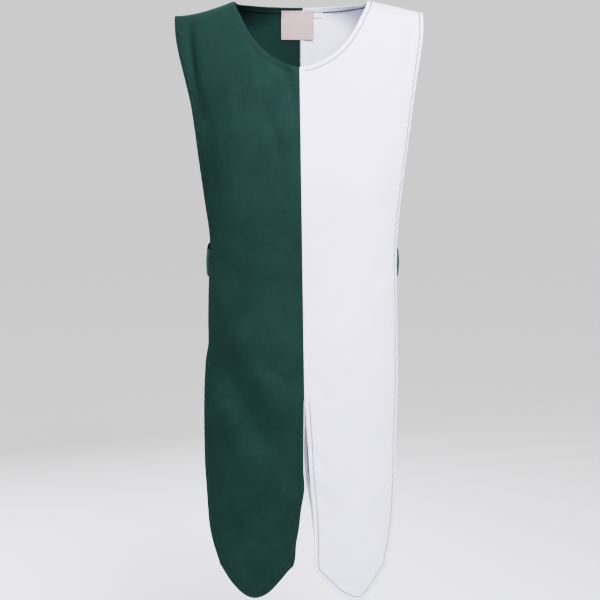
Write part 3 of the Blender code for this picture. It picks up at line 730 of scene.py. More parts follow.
# Cotton twill, woven with a diagonal rib and then dyed or bleached: matt, with a faint sheen at a flat
# angle, slightly uneven threads, and a tone that wanders a little over the cloth. The real rib is about
# 0.5 mm from line to line, which is too fine to show, so it is drawn 1.1 mm apart.
TWILL_RIB = 0.0011
SLUB_WIDTH = 0.0022
SLUB_LENGTH = 0.045
TONE_PATCH = 0.070
THREAD_TONE = 0.35
THREAD_RELIEF = 1.6


def cotton(name, shade, light, sheen, sheen_tint, rib_height):
    """Cotton twill in one colour: its warp and weft threads, its rib and its tone."""
    material = new_material(name)
    cut_map = add(material, "ShaderNodeUVMap", uv_map="cut")
    ways = []
    for across, down in ((SLUB_WIDTH, SLUB_LENGTH), (SLUB_LENGTH, SLUB_WIDTH)):
        scale = (1.0 / across, 1.0 / down, 1.0)
        way = add(material, "ShaderNodeMapping", {"Vector": (cut_map, "UV"), "Scale": scale})
        slub = {"Vector": (way, "Vector"), "Scale": 1.0, "Detail": 2.0}
        ways.append(add(material, "ShaderNodeTexNoise", slub))
    place = add(material, "ShaderNodeTexCoord")
    patches = add(
        material,
        "ShaderNodeTexNoise",
        {"Vector": (place, "Object"), "Scale": 1.0 / TONE_PATCH, "Detail": 3.0, "Roughness": 0.55},
    )
    threads = add(material, "ShaderNodeMath", {0: (ways[0], "Fac"), 1: (ways[1], "Fac")}, operation="ADD")
    mixed = {0: (threads, "Value"), 1: THREAD_TONE, 2: (patches, "Fac")}
    tone = add(material, "ShaderNodeMath", mixed, operation="MULTIPLY_ADD")
    whole_range = {"Value": (tone, "Value"), "From Min": 0.55, "From Max": 1.15}
    spread = add(material, "ShaderNodeMapRange", whole_range)
    dyes = {"Factor": (spread, "Result"), "A": linear(shade), "B": linear(light)}
    colour = add(material, "ShaderNodeMix", dyes, data_type="RGBA")
    # The rib runs up to the right at 45 degrees across the threads.
    parts = add(material, "ShaderNodeSeparateXYZ", {"Vector": (cut_map, "UV")})
    diagonal = add(material, "ShaderNodeMath", {0: (parts, "X"), 1: (parts, "Y")}, operation="ADD")
    pace = {0: (diagonal, "Value"), 1: 2.0 * math.pi / (TWILL_RIB * math.sqrt(2.0))}
    turns = add(material, "ShaderNodeMath", pace, operation="MULTIPLY")
    rib = add(material, "ShaderNodeMath", {0: (turns, "Value")}, operation="SINE")
    raised = {0: (threads, "Value"), 1: THREAD_RELIEF, 2: (rib, "Value")}
    relief = add(material, "ShaderNodeMath", raised, operation="MULTIPLY_ADD")
    height = {"Height": (relief, "Value"), "Distance": rib_height, "Strength": 0.6}
    bump = add(material, "ShaderNodeBump", height)
    shader = add(
        material,
        "ShaderNodeBsdfPrincipled",
        {
            "Base Color": (colour, "Result"),
            "Roughness": 0.86,
            "Specular IOR Level": 0.25,
            "Sheen Weight": sheen,
            "Sheen Roughness": 0.45,
            "Sheen Tint": linear(sheen_tint),
            "Normal": (bump, "Normal"),
        },
    )
    add(material, "ShaderNodeOutputMaterial", {"Surface": (shader, "BSDF")})
    return material


COTTONS = {
    "green_cotton": cotton("green cotton twill", "#293e39", "#304742", 0.30, "#8fb0a4", 0.00010),
    "white_cotton": cotton("white cotton twill", "#dfddea", "#e6e4f0", 0.05, "#ffffff", 0.00008),
}


def ring_at(cut, edge, toward, inward, lift):
    """A ring of the cloth a distance in from the edge, lifted off the face: points, flat points and face."""
    flat = edge + (toward - edge) * (inward / BAND)[:, None]
    points, face = worn_with_face(cut, flat)
    return points + face * lift[:, None], flat, face


Half = namedtuple("Half", "cut lines")


def make_half(panel):
    """Makes one half, and returns its cut and the lines that its stitching follows."""
    cut = lay_out(panel)
    sides = cut_sides(cut)
    inset = inset_sides(sides, BAND)
    grid = field_grid(inset)
    slit_down = float(np.interp(-SLIT_HEIGHT, -worn(cut, sides["seam"])[:, 2], sides["seam"][:, 1]))

    # Each point on the rim of the grid, going round, with its place on the cloth's edge.
    left_edge = np.concatenate([spaced(sides["neckline"], NECK_ROWS), spaced(sides["seam"], BODY_ROWS)[1:]])
    right_edge = spaced(sides["side"], ROWS)
    top_edge = spaced(sides["shoulder"], COLUMNS)
    hem_edge = spaced(sides["lappet"], COLUMNS)
    slit_row = NECK_ROWS + int(np.argmin(np.abs(left_edge[NECK_ROWS:, 1] - slit_down)))
    rim = (
        [(row, 0) for row in range(ROWS + 1)]
        + [(ROWS, column) for column in range(1, COLUMNS + 1)]
        + [(row, COLUMNS) for row in range(ROWS - 1, -1, -1)]
        + [(0, column) for column in range(COLUMNS - 1, 0, -1)]
    )
    edge = np.concatenate([left_edge, hem_edge[1:], right_edge[-2::-1], top_edge[-2:0:-1]])
    inner = np.array([grid[row, column] for row, column in rim])
    number = {place: index for index, place in enumerate(rim)}
    whole = np.ones(len(rim))
    hemmed = whole.copy()
    for place, (row, column) in enumerate(rim):
        in_centre_seam = column == 0 and NECK_ROWS < row < slit_row
        in_shoulder_seam = row == 0 and 0 < column < COLUMNS
        if in_centre_seam or in_shoulder_seam:
            hemmed[place] = 0.0
    along = run_of(edge)
    along = np.where((hemmed < 0.5) & (np.arange(len(rim)) <= ROWS), edge[:, 1], along)

    def relief(inward):
        """How far the outer face stands off all round, a distance in from the edge."""
        return hemmed * hem_relief(inward, along) + (1.0 - hemmed) * seam_relief(inward, along)

    # The field.
    cloth = bmesh.new()
    bmesh.ops.create_grid(cloth, x_segments=COLUMNS, y_segments=ROWS, size=1.0)
    index = cloth.verts.layers.int.new("rim")
    flat_layer = cloth.verts.layers.float_vector.new("flat")
    field = worn(cut, grid)
    rim_points, _, _ = ring_at(cut, edge, inner, BAND * whole, relief(BAND))
    for vert in cloth.verts:
        column = round((vert.co.x + 1.0) / 2.0 * COLUMNS)
        row = round((1.0 - vert.co.y) / 2.0 * ROWS)
        vert[flat_layer] = (*grid[row, column], 0.0)
        vert.co = field[row, column]
        vert[index] = number.get((row, column), -1)
    for vert in cloth.verts:
        if vert[index] >= 0:
            vert.co = rim_points[vert[index]]

    # The band out to the edge, on the outer face.
    rim_edges = [part for part in cloth.edges if part.is_boundary]
    band = [ring_at(cut, edge, inner, inward * whole, relief(inward)) for inward in BAND_RINGS]
    fold_in = np.where(hemmed > 0.5, HEM_FOLD, SEAM_FOLD)
    last = ring_at(cut, edge, inner, fold_in, relief(HEM_FOLD))
    draw_out(cloth, rim_edges, index, [*band, last], flat_layer)
    outer_rim = {}
    for part in cloth.edges:
        if part.is_boundary:
            outer_rim[frozenset((part.verts[0][index], part.verts[1][index]))] = part

    def chain(numbers):
        """The edges along a run of the outer rim."""
        return [outer_rim[frozenset(pair)] for pair in zip(numbers, numbers[1:])]

    def square(numbers, first_way, last_way):
        """Inner points for a hem's turned layer, square to the edge at its two ends."""
        turned = inner.copy()
        turned[numbers[0]] = edge[numbers[0]] + np.array(first_way) * BAND
        turned[numbers[-1]] = edge[numbers[-1]] + np.array(last_way) * BAND
        return turned

    def back_rings(turned, fold, steps, shrink):
        """The rings round a fold and back inside, drawn together past the fold by the shrink."""
        rings = []
        for inward, depth in steps:
            inward = fold + (inward - fold) * shrink if inward > fold else inward * whole
            rings.append(ring_at(cut, edge, turned, inward, relief(HEM_FOLD) - depth))
        return rings

    # The turned hems: of the neckline, and of the slit, the lappet and the side in one.
    hem_steps = fold_steps(HEM_FOLD, math.pi)[1:]
    for inward in BACK_RINGS:
        hem_steps.append((inward, 2.0 * HEM_FOLD - (STITCH_PULL if inward == HEM_STITCH else 0.0)))
    neck_chain = list(range(0, NECK_ROWS + 1))
    long_chain = [number[row, 0] for row in range(slit_row, ROWS + 1)]
    long_chain += [number[ROWS, column] for column in range(1, COLUMNS + 1)]
    long_chain += [number[row, COLUMNS] for row in range(ROWS - 1, -1, -1)]
    lines = {}
    hems = (
        ("neck", neck_chain, (1.0, 0.0), (0.0, 1.0)),
        ("long", long_chain, (1.0, 0.0), (-1.0, 0.0)),
    )
    stitch_ring = BAND_RINGS.index(HEM_STITCH)
    back_stitch = FOLD_STEPS + BACK_RINGS.index(HEM_STITCH)
    for name, numbers, first_way, last_way in hems:
        turned = square(numbers, first_way, last_way)
        rings = back_rings(turned, HEM_FOLD, hem_steps, whole)
        draw_out(cloth, chain(numbers), index, rings, flat_layer)
        lines[name] = {
            "outer": (band[stitch_ring][0][numbers], band[stitch_ring][2][numbers]),
            "inner": (rings[back_stitch][0][numbers], rings[back_stitch][2][numbers]),
            "raw": rings[-1][0][numbers],
            "lap": rings[back_stitch - 1][0][numbers],
            "face": rings[-1][2][numbers],
        }

    # The seams: one side's allowance folds back, the other's passes under it to the far side. Both are
    # trimmed away at a seam's ends, where the hems cross it.
    seam_chain = list(range(NECK_ROWS, slit_row + 1))
    shoulder_chain = [number[0, column] for column in range(0, COLUMNS + 1)]
    seams = (
        ("centre", seam_chain, (1.0, 0.0), panel.hand == GREEN_HAND),
        ("shoulder", shoulder_chain, (0.0, 1.0), panel.face == BACK_FACE),
    )
    for name, numbers, way, folds_back in seams:
        turned = edge + np.array(way) * BAND
        gone = run_of(edge[numbers])
        shrink = whole.copy()
        shrink[numbers] = np.where(np.minimum(gone, gone[-1] - gone) < SEAM_END, SEAM_END_SHARE, 1.0)
        if folds_back:
            steps = fold_steps(SEAM_FOLD, math.pi)[1:]
            steps += [(inward, 2.0 * SEAM_FOLD) for inward in SEAM_BACK_RINGS]
            rings = back_rings(turned, SEAM_FOLD, steps, shrink)
        else:
            steps = fold_steps(SEAM_FOLD, math.pi / 2.0)[1:]
            far = SEAM_FOLD + SEAM_GAP
            for angle in np.linspace(0.0, math.pi / 2.0, FOLD_STEPS + 1)[1:]:
                steps.append((-far * (1.0 - math.cos(angle)), SEAM_FOLD + far * math.sin(angle)))
            rings = back_rings(turned, SEAM_FOLD, steps, whole)
            passing = []
            for beyond in SEAM_FAR_RINGS:
                reach = far + (beyond - far) * shrink
                passing.append(ring_at(cut, edge, turned, -reach, -(SEAM_FOLD + far) * whole))
            rings += passing
            kept = shrink[numbers] > 0.5
            lines[name] = {
                "raw": passing[-1][0][numbers][kept],
                "lap": passing[-3][0][numbers][kept],
                "face": passing[-1][2][numbers][kept],
            }
        draw_out(cloth, chain(numbers), index, rings, flat_layer)

    # The faces are turned to point out of the garment, and the wall of the cloth lies inside them.
    if panel.hand * panel.face > 0:
        bmesh.ops.reverse_faces(cloth, faces=cloth.faces[:])
    set_flat_uv(cloth, flat_layer)
    cloth.verts.layers.float_vector.remove(flat_layer)
    cloth.verts.layers.int.remove(cloth.verts.layers.int["rim"])
    piece = finish_cloth(panel.name + "_cloth", cloth, COTTONS[panel.slot], CLOTH_WALL)
    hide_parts(panel.name)
    tack_down = np.full(TACK_POINTS, slit_down + TACK_DROP)
    tack = np.stack([np.linspace(TACK_START, HEM_STITCH, TACK_POINTS), tack_down], axis=1)
    lines["tack"] = {"outer": worn_with_face(cut, tack)}
    return Half(cut, lines)


HALVES = {panel.name: make_half(panel) for panel in PANELS}

# TOPSTITCHING AND OVERLOCK. The hems are sewn down all round, 8 mm in, with one row of machine lockstitch
# in a dark grey-green polyester thread that shows on the white. The raw edges of the hems and of the pressed
# seam allowances are bound inside with overlock loops in the same thread.

# Real thread is about 0.4 mm thick, too fine to show, so it is drawn thicker. A size is the width and height
# of the thread, and the length of one stitch.
STITCH_PITCH = 0.0031
STITCH_SIZE = (0.00180, 0.00100, 0.0030)
STITCH_PROUD = 0.32
LOOP_PITCH = 0.0021
LOOP_SIZE = (0.00130, 0.00080, 0.0038)
LOOP_BACK = 0.0008
LOOP_PROUD = 0.00012
TACK_PITCH = 0.0011
TACK_SIZE = (0.00060, 0.00050, 0.0014)
PLIES_PER_METRE = 1400.0

bead = bmesh.new()
bmesh.ops.create_uvsphere(bead, u_segments=5, v_segments=3, radius=0.5)
BEAD_POINTS = np.array([vert.co[:] for vert in bead.verts])
bead_corners = [(face.verts[:] + face.verts[-1:])[:4] for face in bead.faces]
BEAD_FACES = np.array([[vert.index for vert in corners] for corners in bead_corners])
bead.free()


def thread_marks(points, out_ways, pitch):
    """Evenly spaced places along a line, with the way along it and the way out of the cloth at each."""
    run = run_of(points)
    marks = np.arange(pitch, run[-1] - pitch / 2.0, pitch)
    along = places_at(points, run, marks + pitch / 2.0) - places_at(points, run, marks - pitch / 2.0)
    along /= np.linalg.norm(along, axis=1, keepdims=True)
    out = places_at(out_ways, run, marks)
    out -= (out * along).sum(axis=1, keepdims=True) * along
    return marks, places_at(points, run, marks), along, out / np.linalg.norm(out, axis=1, keepdims=True)


def thread_beads(places, long_way, out_way, size):
    """The points of one short length of thread at each place."""
    side = np.cross(long_way, out_way)
    local = BEAD_POINTS * np.array(size)
    shapes = local[None, :, 0, None] * side[:, None] + local[None, :, 1, None] * out_way[:, None]
    return places[:, None] + shapes + local[None, :, 2, None] * long_way[:, None]


def sewn_row(points, out_ways, pitch=STITCH_PITCH, size=STITCH_SIZE):
    """A row of lockstitch along a line on the cloth."""
    _, places, along, out = thread_marks(points, out_ways, pitch)
    return thread_beads(places + out * size[1] * STITCH_PROUD, along, out, size)


def overlock(raw, lap, faces, sunk):
    """Overlock loops round a raw edge, on the inside of the garment."""
    marks, places, _, out = thread_marks(raw, -faces, LOOP_PITCH)
    reach = places - places_at(lap, run_of(raw), marks)
    reach -= (reach * out).sum(axis=1, keepdims=True) * out
    reach /= np.linalg.norm(reach, axis=1, keepdims=True)
    return thread_beads(places - reach * LOOP_BACK + out * (sunk + LOOP_PROUD), reach, out, LOOP_SIZE)


def thread(name, shade, light):
    """Spun polyester sewing thread, twisted: a matt thread whose plies catch the light along one side."""
    material = new_material(name)
    place = add(material, "ShaderNodeTexCoord")
    ply = {"Vector": (place, "Object"), "Scale": PLIES_PER_METRE, "Detail": 1.0}
    plies = add(material, "ShaderNodeTexNoise", ply)
    dyes = {"Factor": (plies, "Fac"), "A": linear(shade), "B": linear(light)}
    colour = add(material, "ShaderNodeMix", dyes, data_type="RGBA")
    bump = add(material, "ShaderNodeBump", {"Height": (plies, "Fac"), "Distance": 0.0001, "Strength": 0.5})
    finish = {"Base Color": (colour, "Result"), "Roughness": 0.62, "Sheen Weight": 0.1}
    shader = add(material, "ShaderNodeBsdfPrincipled", finish | {"Normal": (bump, "Normal")})
    add(material, "ShaderNodeOutputMaterial", {"Surface": (shader, "BSDF")})
    return material


def finish_threads(name, rows, material):
    """Makes one piece of many short lengths of thread."""
    beads = np.concatenate(rows)
    starts = np.arange(len(beads))[:, None, None] * len(BEAD_POINTS)
    faces = (BEAD_FACES[None] + starts).reshape(-1, 4).tolist()
    faces = [face[:3] if face[3] == face[2] else face for face in faces]
    mesh = bpy.data.meshes.new(name)
    mesh.from_pydata(beads.reshape(-1, 3).tolist(), [], faces)
    finish_piece(name, mesh, material)


DARK_THREAD = thread("dark grey-green polyester thread", "#253b36", "#344c46")
for panel in PANELS:
    lines = HALVES[panel.name].lines
    rows = [sewn_row(*lines["tack"]["outer"], pitch=TACK_PITCH, size=TACK_SIZE)]
    for hem in ("neck", "long"):
        points, faces = lines[hem]["outer"]
        rows.append(sewn_row(points, faces))
        points, faces = lines[hem]["inner"]
        rows.append(sewn_row(points, -faces))
        rows.append(overlock(lines[hem]["raw"], lines[hem]["lap"], lines[hem]["face"], 0.0))
    for seam in ("centre", "shoulder"):
        if seam in lines:
            rows.append(overlock(lines[seam]["raw"], lines[seam]["lap"], lines[seam]["face"], CLOTH_WALL))
    finish_threads(panel.name + "_stitching", rows, DARK_THREAD)

# WAIST STRAPS. Two short bands of the green cotton, folded double and topstitched along both edges. Their
# ends lie inside the side hems of a front and a back and are caught in the hems' stitching. They bow out a
# little and sag by the droop.
STRAP_WIDTH = 0.050
STRAP_WALL = 0.0014
STRAP_LAP = 0.016
STRAP_SUNK = 0.0023
STRAP_FRONT_HEIGHT = -0.489
STRAP_BACK_HEIGHT = -0.477
STRAP_BARREL = 0.30
STRAP_BOW = 0.85
STRAP_DROOP = 0.004
STRAP_STITCH = 0.0030
STRAP_GROOVE = 0.00030
STRAP_PUCKER = 0.00018
STRAP_PUCKER_START = 0.013
STRAP_PUCKER_LINE = 0.004
STRAP_PUCKER_WIDTH = 0.006
STRAP_RIPPLE = 0.0006
STRAP_RIPPLE_PACE = 61.0
EDGE_ROUNDING = 0.3
LEVEL_POINTS = 80
STRAP_LAP_ROWS = 8
STRAP_FREE_ROWS = 48
STRAP_COLUMNS = 30


def level_places(cut, height, insets):
    """Places on the flat cut at a height, each a distance in from the side edge."""
    share = np.linspace(0.0, 0.5, LEVEL_POINTS)
    outer = outer_x(cut.panel, height)
    flat = flat_at(cut, outer + (inner_x(cut.panel, height) - outer) * share, height + 0.0 * share)
    return places_at(flat, run_of(worn(cut, flat)), insets)


def lying_inside(cut, flat, sunk):
    """Points that lie a distance inside the outer face of the cloth."""
    points, face = worn_with_face(cut, flat)
    return points - face * sunk


def strap_line(front, back, up):
    """Points along a strap's outer face, at a height over its middle line."""
    insets = np.linspace(STRAP_LAP, 0.0, STRAP_LAP_ROWS + 1)
    lead = lying_inside(front, level_places(front, STRAP_FRONT_HEIGHT + up, insets), STRAP_SUNK)
    tail = lying_inside(back, level_places(back, STRAP_BACK_HEIGHT + up, insets), STRAP_SUNK)[::-1]
    start, end = lead[-1], tail[0]
    barrel = STRAP_BOW * (1.0 - STRAP_BARREL * (2.0 * up / STRAP_WIDTH) ** 2)
    barrel = barrel * np.linalg.norm(end - start)
    leaving = (start - lead[-3]) / np.linalg.norm(start - lead[-3]) * barrel
    arriving = (tail[2] - end) / np.linalg.norm(tail[2] - end) * barrel
    share = np.linspace(0.0, 1.0, STRAP_FREE_ROWS + 1)[1:-1, None]
    free = smooth_path(start, end, leaving, arriving, share)
    free[:, 2] -= STRAP_DROOP * np.sin(math.pi * share[:, 0])
    return np.concatenate([lead, free, tail])


def grid_piece(name, points, wanted, material, wall, relief):
    """Makes a thin closed piece of a grid of points, with a relief, and its face towards the wanted side."""
    rows, columns = points.shape[0] - 1, points.shape[1] - 1
    tape = bmesh.new()
    bmesh.ops.create_grid(tape, x_segments=columns, y_segments=rows, size=1.0)
    flat_layer = tape.verts.layers.float_vector.new("flat")
    along = np.linalg.norm(np.diff(points, axis=0), axis=2).mean(axis=1)
    beside = np.linalg.norm(np.diff(points, axis=1), axis=2).mean(axis=0)
    gone_down = np.concatenate([[0.0], np.cumsum(along)])
    gone_across = np.concatenate([[0.0], np.cumsum(beside)])
    places = {}
    for vert in tape.verts:
        column = round((vert.co.x + 1.0) / 2.0 * columns)
        row = round((1.0 - vert.co.y) / 2.0 * rows)
        vert.co = points[row, column]
        vert[flat_layer] = (gone_across[column], -gone_down[row], 0.0)
        places[vert] = (row, column)
    tape.normal_update()
    middle = next(vert for vert, place in places.items() if place == (rows // 2, columns // 2))
    if middle.normal.dot(wanted) < 0.0:
        bmesh.ops.reverse_faces(tape, faces=tape.faces[:])
        tape.normal_update()
    down, across = np.meshgrid(gone_down, gone_across, indexing="ij")
    shift = relief(down, across)
    faces = np.zeros_like(points)
    for vert, place in places.items():
        faces[place] = vert.normal
        vert.co += vert.normal * float(shift[place])
    moved = points + faces * shift[..., None]
    set_flat_uv(tape, flat_layer)
    tape.verts.layers.float_vector.remove(flat_layer)
    piece = finish_cloth(name, tape, material, wall)
    rounded = piece.modifiers.new("edge", "BEVEL")
    rounded.width = wall * EDGE_ROUNDING
    rounded.segments = 2
    rounded.limit_method = "ANGLE"
    return piece, moved, faces


def line_at(grid, gone, mark):
    """The line across a grid of points at a distance."""
    place = np.interp(mark, gone, np.arange(len(gone)))
    first = min(int(place), len(gone) - 2)
    return grid[:, first] * (1.0 - place + first) + grid[:, first + 1] * (place - first)


def strap_relief(down, across):
    """A strap's edges are drawn down at their stitching, between faint puckers."""
    lift = 0.0 * down
    waves = STRAP_PUCKER * pucker(down + STRAP_PUCKER_START)
    for edge in (across, STRAP_WIDTH - across):
        groove = STRAP_GROOVE * near_line(edge - STRAP_STITCH, GROOVE_WIDTH)
        lift = lift - groove + waves * near_line(edge - STRAP_PUCKER_LINE, STRAP_PUCKER_WIDTH)
    ripple = np.sin(down * STRAP_RIPPLE_PACE + 0.7) * np.sin(across / STRAP_WIDTH * math.pi)
    return lift + STRAP_RIPPLE * ripple


for name, front, back, hand in (
    ("strap_left", "front_green", "back_green", GREEN_HAND),
    ("strap_right", "front_white", "back_white", WHITE_HAND),
):
    ups = np.linspace(STRAP_WIDTH / 2.0, -STRAP_WIDTH / 2.0, STRAP_COLUMNS + 1)
    points = np.stack([strap_line(HALVES[front].cut, HALVES[back].cut, up) for up in ups], axis=1)
    piece, moved, faces = grid_piece(
        name + "_band",
        points,
        (float(hand), 0.0, 0.0),
        COTTONS["green_cotton"],
        STRAP_WALL,
        strap_relief,
    )
    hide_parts(name)
    gone = np.linspace(0.0, STRAP_WIDTH, STRAP_COLUMNS + 1)
    rows = []
    for mark in (STRAP_STITCH, STRAP_WIDTH - STRAP_STITCH):
        line = line_at(moved, gone, mark)
        face = line_at(faces, gone, mark)
        rows.append(sewn_row(line, face))
        rows.append(sewn_row(line - face * STRAP_WALL, -face))
    lap_row = round(STRAP_LAP_ROWS * (1.0 - HEM_STITCH / STRAP_LAP))
    for row in (lap_row, len(moved) - 1 - lap_row):
        rows.append(sewn_row(moved[row] - faces[row] * STRAP_WALL, -faces[row]))
    finish_threads(name + "_stitching", rows, DARK_THREAD)

# NECK LABEL AND SIZE TAB. A square of pale pink woven tape and a small white one, both bare, laid over the
# hem inside the back neck and sewn down all round, a margin inside their edges, in thread of their own
# colour. The real tape's threads are about 0.2 mm apart, and are drawn 0.7 mm apart so that they show.
Tape = namedtuple("Tape", "name left right top bottom sunk wall shade light thread slot margin")
TAPES = (
    Tape(
        "neck_label", -0.0372, 0.0268, -0.0030, -0.0596, 0.0033, 0.0006,
        "#b09a98", "#bba4a2", "#b29c9a", "label_tape", 0.0022,
    ),
    Tape(
        "size_tab", 0.0274, 0.0444, -0.0067, -0.0178, 0.0031, 0.0005,
        "#dcdbe2", "#e8e7ee", "#d8d7de", "tab_tape", 0.0014,
    ),
)
TAPE_THREAD = 0.0007
TAPE_CLOUDS_PER_METRE = 55.0
TAPE_CELL = 0.0022
TAPE_LEAST_COLUMNS = 8
TAPE_LEAST_ROWS = 5
TAPE_STITCH_PITCH = 0.0024
TAPE_STITCH_SIZE = (0.00045, 0.0004, 0.0020)
TAPE_RIPPLE = 0.00025
TAPE_RIPPLE_ACROSS = 97.0
TAPE_RIPPLE_DOWN = 83.0
TAPE_GROOVE = 0.00018
TAPE_CURL = 0.0010
TAPE_CURL_REACH = 0.012
TAPE_CURL_LEAST_WIDTH = 0.03
SEAM_CROSSING = 0.006


def woven_tape(name, shade, light):
    """Woven satin tape: close even threads at right angles, smoother and glossier than the cloth."""
    material = new_material(name)
    cut_map = add(material, "ShaderNodeUVMap", uv_map="cut")
    parts = add(material, "ShaderNodeSeparateXYZ", {"Vector": (cut_map, "UV")})
    waves = []
    for axis in ("X", "Y"):
        pace = {0: (parts, axis), 1: 2.0 * math.pi / TAPE_THREAD}
        turns = add(material, "ShaderNodeMath", pace, operation="MULTIPLY")
        waves.append(add(material, "ShaderNodeMath", {0: (turns, "Value")}, operation="SINE"))
    crossed = {0: (waves[0], "Value"), 1: (waves[1], "Value")}
    weave = add(material, "ShaderNodeMath", crossed, operation="MULTIPLY")
    place = add(material, "ShaderNodeTexCoord")
    clouds = {"Vector": (place, "Object"), "Scale": TAPE_CLOUDS_PER_METRE, "Detail": 4.0}
    tone = add(material, "ShaderNodeTexNoise", clouds)
    dyes = {"Factor": (tone, "Fac"), "A": linear(shade), "B": linear(light)}
    colour = add(material, "ShaderNodeMix", dyes, data_type="RGBA")
    height = {"Height": (weave, "Value"), "Distance": 0.00006, "Strength": 0.6}
    bump = add(material, "ShaderNodeBump", height)
    shader = add(
        material,
        "ShaderNodeBsdfPrincipled",
        {
            "Base Color": (colour, "Result"),
            "Roughness": 0.6,
            "Specular IOR Level": 0.35,
            "Sheen Weight": 0.05,
            "Normal": (bump, "Normal"),
        },
    )
    add(material, "ShaderNodeOutputMaterial", {"Surface": (shader, "BSDF")})
    return material


for tape in TAPES:
    width, length = tape.right - tape.left, tape.top - tape.bottom
    columns = max(round(width / TAPE_CELL), TAPE_LEAST_COLUMNS)
    rows_down = max(round(length / TAPE_CELL), TAPE_LEAST_ROWS)
    x = np.linspace(tape.left, tape.right, columns + 1)[None] + np.zeros((rows_down + 1, 1))
    height = np.linspace(tape.top, tape.bottom, rows_down + 1)[:, None] + 0.0 * x
    green_cut, white_cut = HALVES["back_green"].cut, HALVES["back_white"].cut
    on_green = lying_inside(green_cut, flat_at(green_cut, x, height), tape.sunk)
    on_white = lying_inside(white_cut, flat_at(white_cut, x, height), tape.sunk)
    share = ease((x - inner_x(green_cut.panel, height)) / SEAM_CROSSING + 0.5)[..., None]
    points = on_green * (1.0 - share) + on_white * share

    def tape_relief(down, across):
        """Faint ripples, a groove at the stitching, and the label's lower corner, which lifts a little."""
        lift = TAPE_RIPPLE * np.sin(across * TAPE_RIPPLE_ACROSS + 1.1) * np.sin(down * TAPE_RIPPLE_DOWN)
        for edge in (down, length - down, across, width - across):
            lift = lift - TAPE_GROOVE * near_line(edge - tape.margin, GROOVE_WIDTH)
        corner = near_line(width - across, TAPE_CURL_REACH) * near_line(length - down, TAPE_CURL_REACH)
        return lift + TAPE_CURL * corner * (width > TAPE_CURL_LEAST_WIDTH)

    piece, moved, faces = grid_piece(
        tape.name + "_tape",
        points,
        (0.0, -1.0, 0.0),
        woven_tape(tape.slot.replace("_", " ") + ", woven", tape.shade, tape.light),
        tape.wall,
        tape_relief,
    )
    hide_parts(tape.name)
    inset_column = max(round(tape.margin / width * columns), 1)
    inset_row = max(round(tape.margin / length * rows_down), 1)
    rows = []
    for column in (inset_column, columns - inset_column):
        span = slice(inset_row, rows_down - inset_row + 1)
        rows.append(sewn_row(moved[span, column], faces[span, column], TAPE_STITCH_PITCH, TAPE_STITCH_SIZE))
    for row in (inset_row, rows_down - inset_row):
        span = slice(inset_column, columns - inset_column + 1)
        rows.append(sewn_row(moved[row, span], faces[row, span], TAPE_STITCH_PITCH, TAPE_STITCH_SIZE))
    finish_threads(
        tape.name + "_stitching",
        rows,
        thread(tape.slot.split("_")[0] + " sewing thread", tape.thread, tape.light),
    )

# STUDIO. A pale floor under the hanging garment, a pale surround, two large soft lights at the front and one
# behind. The camera stands 2.2 m in front, a third of the way down the garment, and looks a little down.
FLOOR_RADIUS = 60.0
FLOOR_HEIGHT = -1.50
SURROUND_SHADE = "#fbfbfb"
SURROUND_STRENGTH = 0.34
floor = bpy.data.meshes.new("floor")
ground = bmesh.new()
bmesh.ops.create_circle(ground, cap_ends=True, segments=96, radius=FLOOR_RADIUS)
bmesh.ops.translate(ground, verts=ground.verts[:], vec=(0.0, 0.0, FLOOR_HEIGHT))
ground.to_mesh(floor)
ground.free()
# Matt emulsion paint, rolled on: it scatters light evenly and shows no gloss.
floor_paint = new_material("pale studio floor")
flat_paint = {"Base Color": linear("#fdfdfd"), "Roughness": 0.95, "Specular IOR Level": 0.0}
floor_shader = add(floor_paint, "ShaderNodeBsdfPrincipled", flat_paint)
add(floor_paint, "ShaderNodeOutputMaterial", {"Surface": (floor_shader, "BSDF")})
floor.materials.append(floor_paint)
floor_piece = new_object("studio_floor", floor)

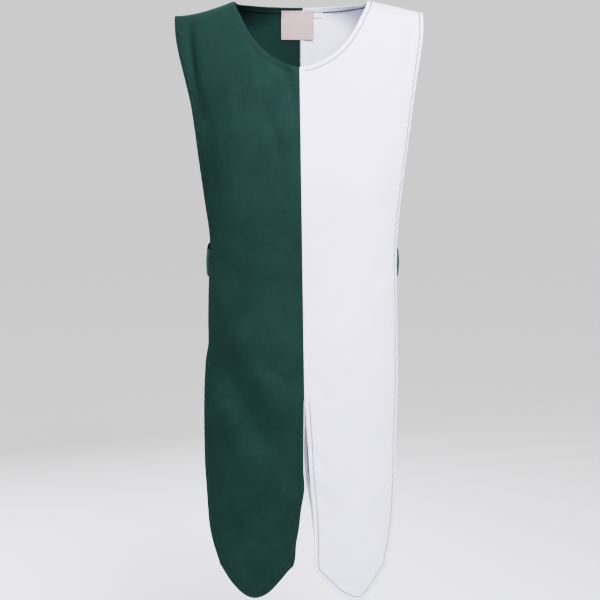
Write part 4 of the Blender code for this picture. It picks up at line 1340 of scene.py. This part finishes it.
world = bpy.data.worlds.new("studio surround")
world.use_nodes = True
world.node_tree.nodes["Background"].inputs["Color"].default_value = linear(SURROUND_SHADE)
world.node_tree.nodes["Background"].inputs["Strength"].default_value = SURROUND_STRENGTH
bpy.context.scene.world = world

Lamp = namedtuple("Lamp", "name place aim size power shade")
LAMPS = (
    Lamp("key softbox", (0.55, -1.60, 0.85), (0.0, 0.0, -0.30), 0.6, 29.0, "#f3f4ff"),
    Lamp("fill softbox", (-0.3, -2.6, -0.30), (0.0, 0.0, -0.30), 1.2, 5.0, "#f3f4ff"),
    Lamp("back softbox", (-0.90, 2.10, 0.35), (0.0, 0.0, -0.45), 0.8, 20.0, "#f3f4ff"),
)
for lamp in LAMPS:
    data = bpy.data.lights.new(lamp.name, "AREA")
    data.shape = "SQUARE"
    data.size = lamp.size
    data.energy = lamp.power
    data.color = linear(lamp.shade)[:3]
    light = new_object(lamp.name, data)
    light.location = lamp.place
    light.rotation_euler = (Vector(lamp.aim) - Vector(lamp.place)).to_track_quat("-Z", "Y").to_euler()

CAMERA_PLACE = (0.0, -2.18, -0.33)
CAMERA_TILT = 83.883
CAMERA_LENS = 68.15
CAMERA_SENSOR = 36.0
eye = bpy.data.cameras.new("front view")
eye.lens = CAMERA_LENS
eye.sensor_width = CAMERA_SENSOR
camera = new_object("front view", eye)
camera.location = CAMERA_PLACE
camera.rotation_euler = Euler((math.radians(CAMERA_TILT), 0.0, 0.0))
bpy.context.scene.camera = camera

# The film's response, as tone for exposure: a toe that deepens the folds of the green cloth, and a shoulder
# that keeps the tones of the white cloth apart.
FILM_RESPONSE = (
    (0.020, 0.0075),
    (0.030, 0.017),
    (0.040, 0.030),
    (0.050, 0.047),
    (0.060, 0.068),
    (0.100, 0.160),
    (0.200, 0.385),
    (0.300, 0.570),
    (0.400, 0.650),
    (0.535, 0.735),
    (0.720, 0.825),
    (0.850, 0.865),
)
FILM_WHITE = (1.0, 0.905)
view = bpy.context.scene.view_settings
view.view_transform = "Standard"
view.use_curve_mapping = True
response = view.curve_mapping.curves[3]
for exposure, tone in FILM_RESPONSE:
    response.points.new(exposure, tone)
response.points[-1].location = FILM_WHITE
view.curve_mapping.update()
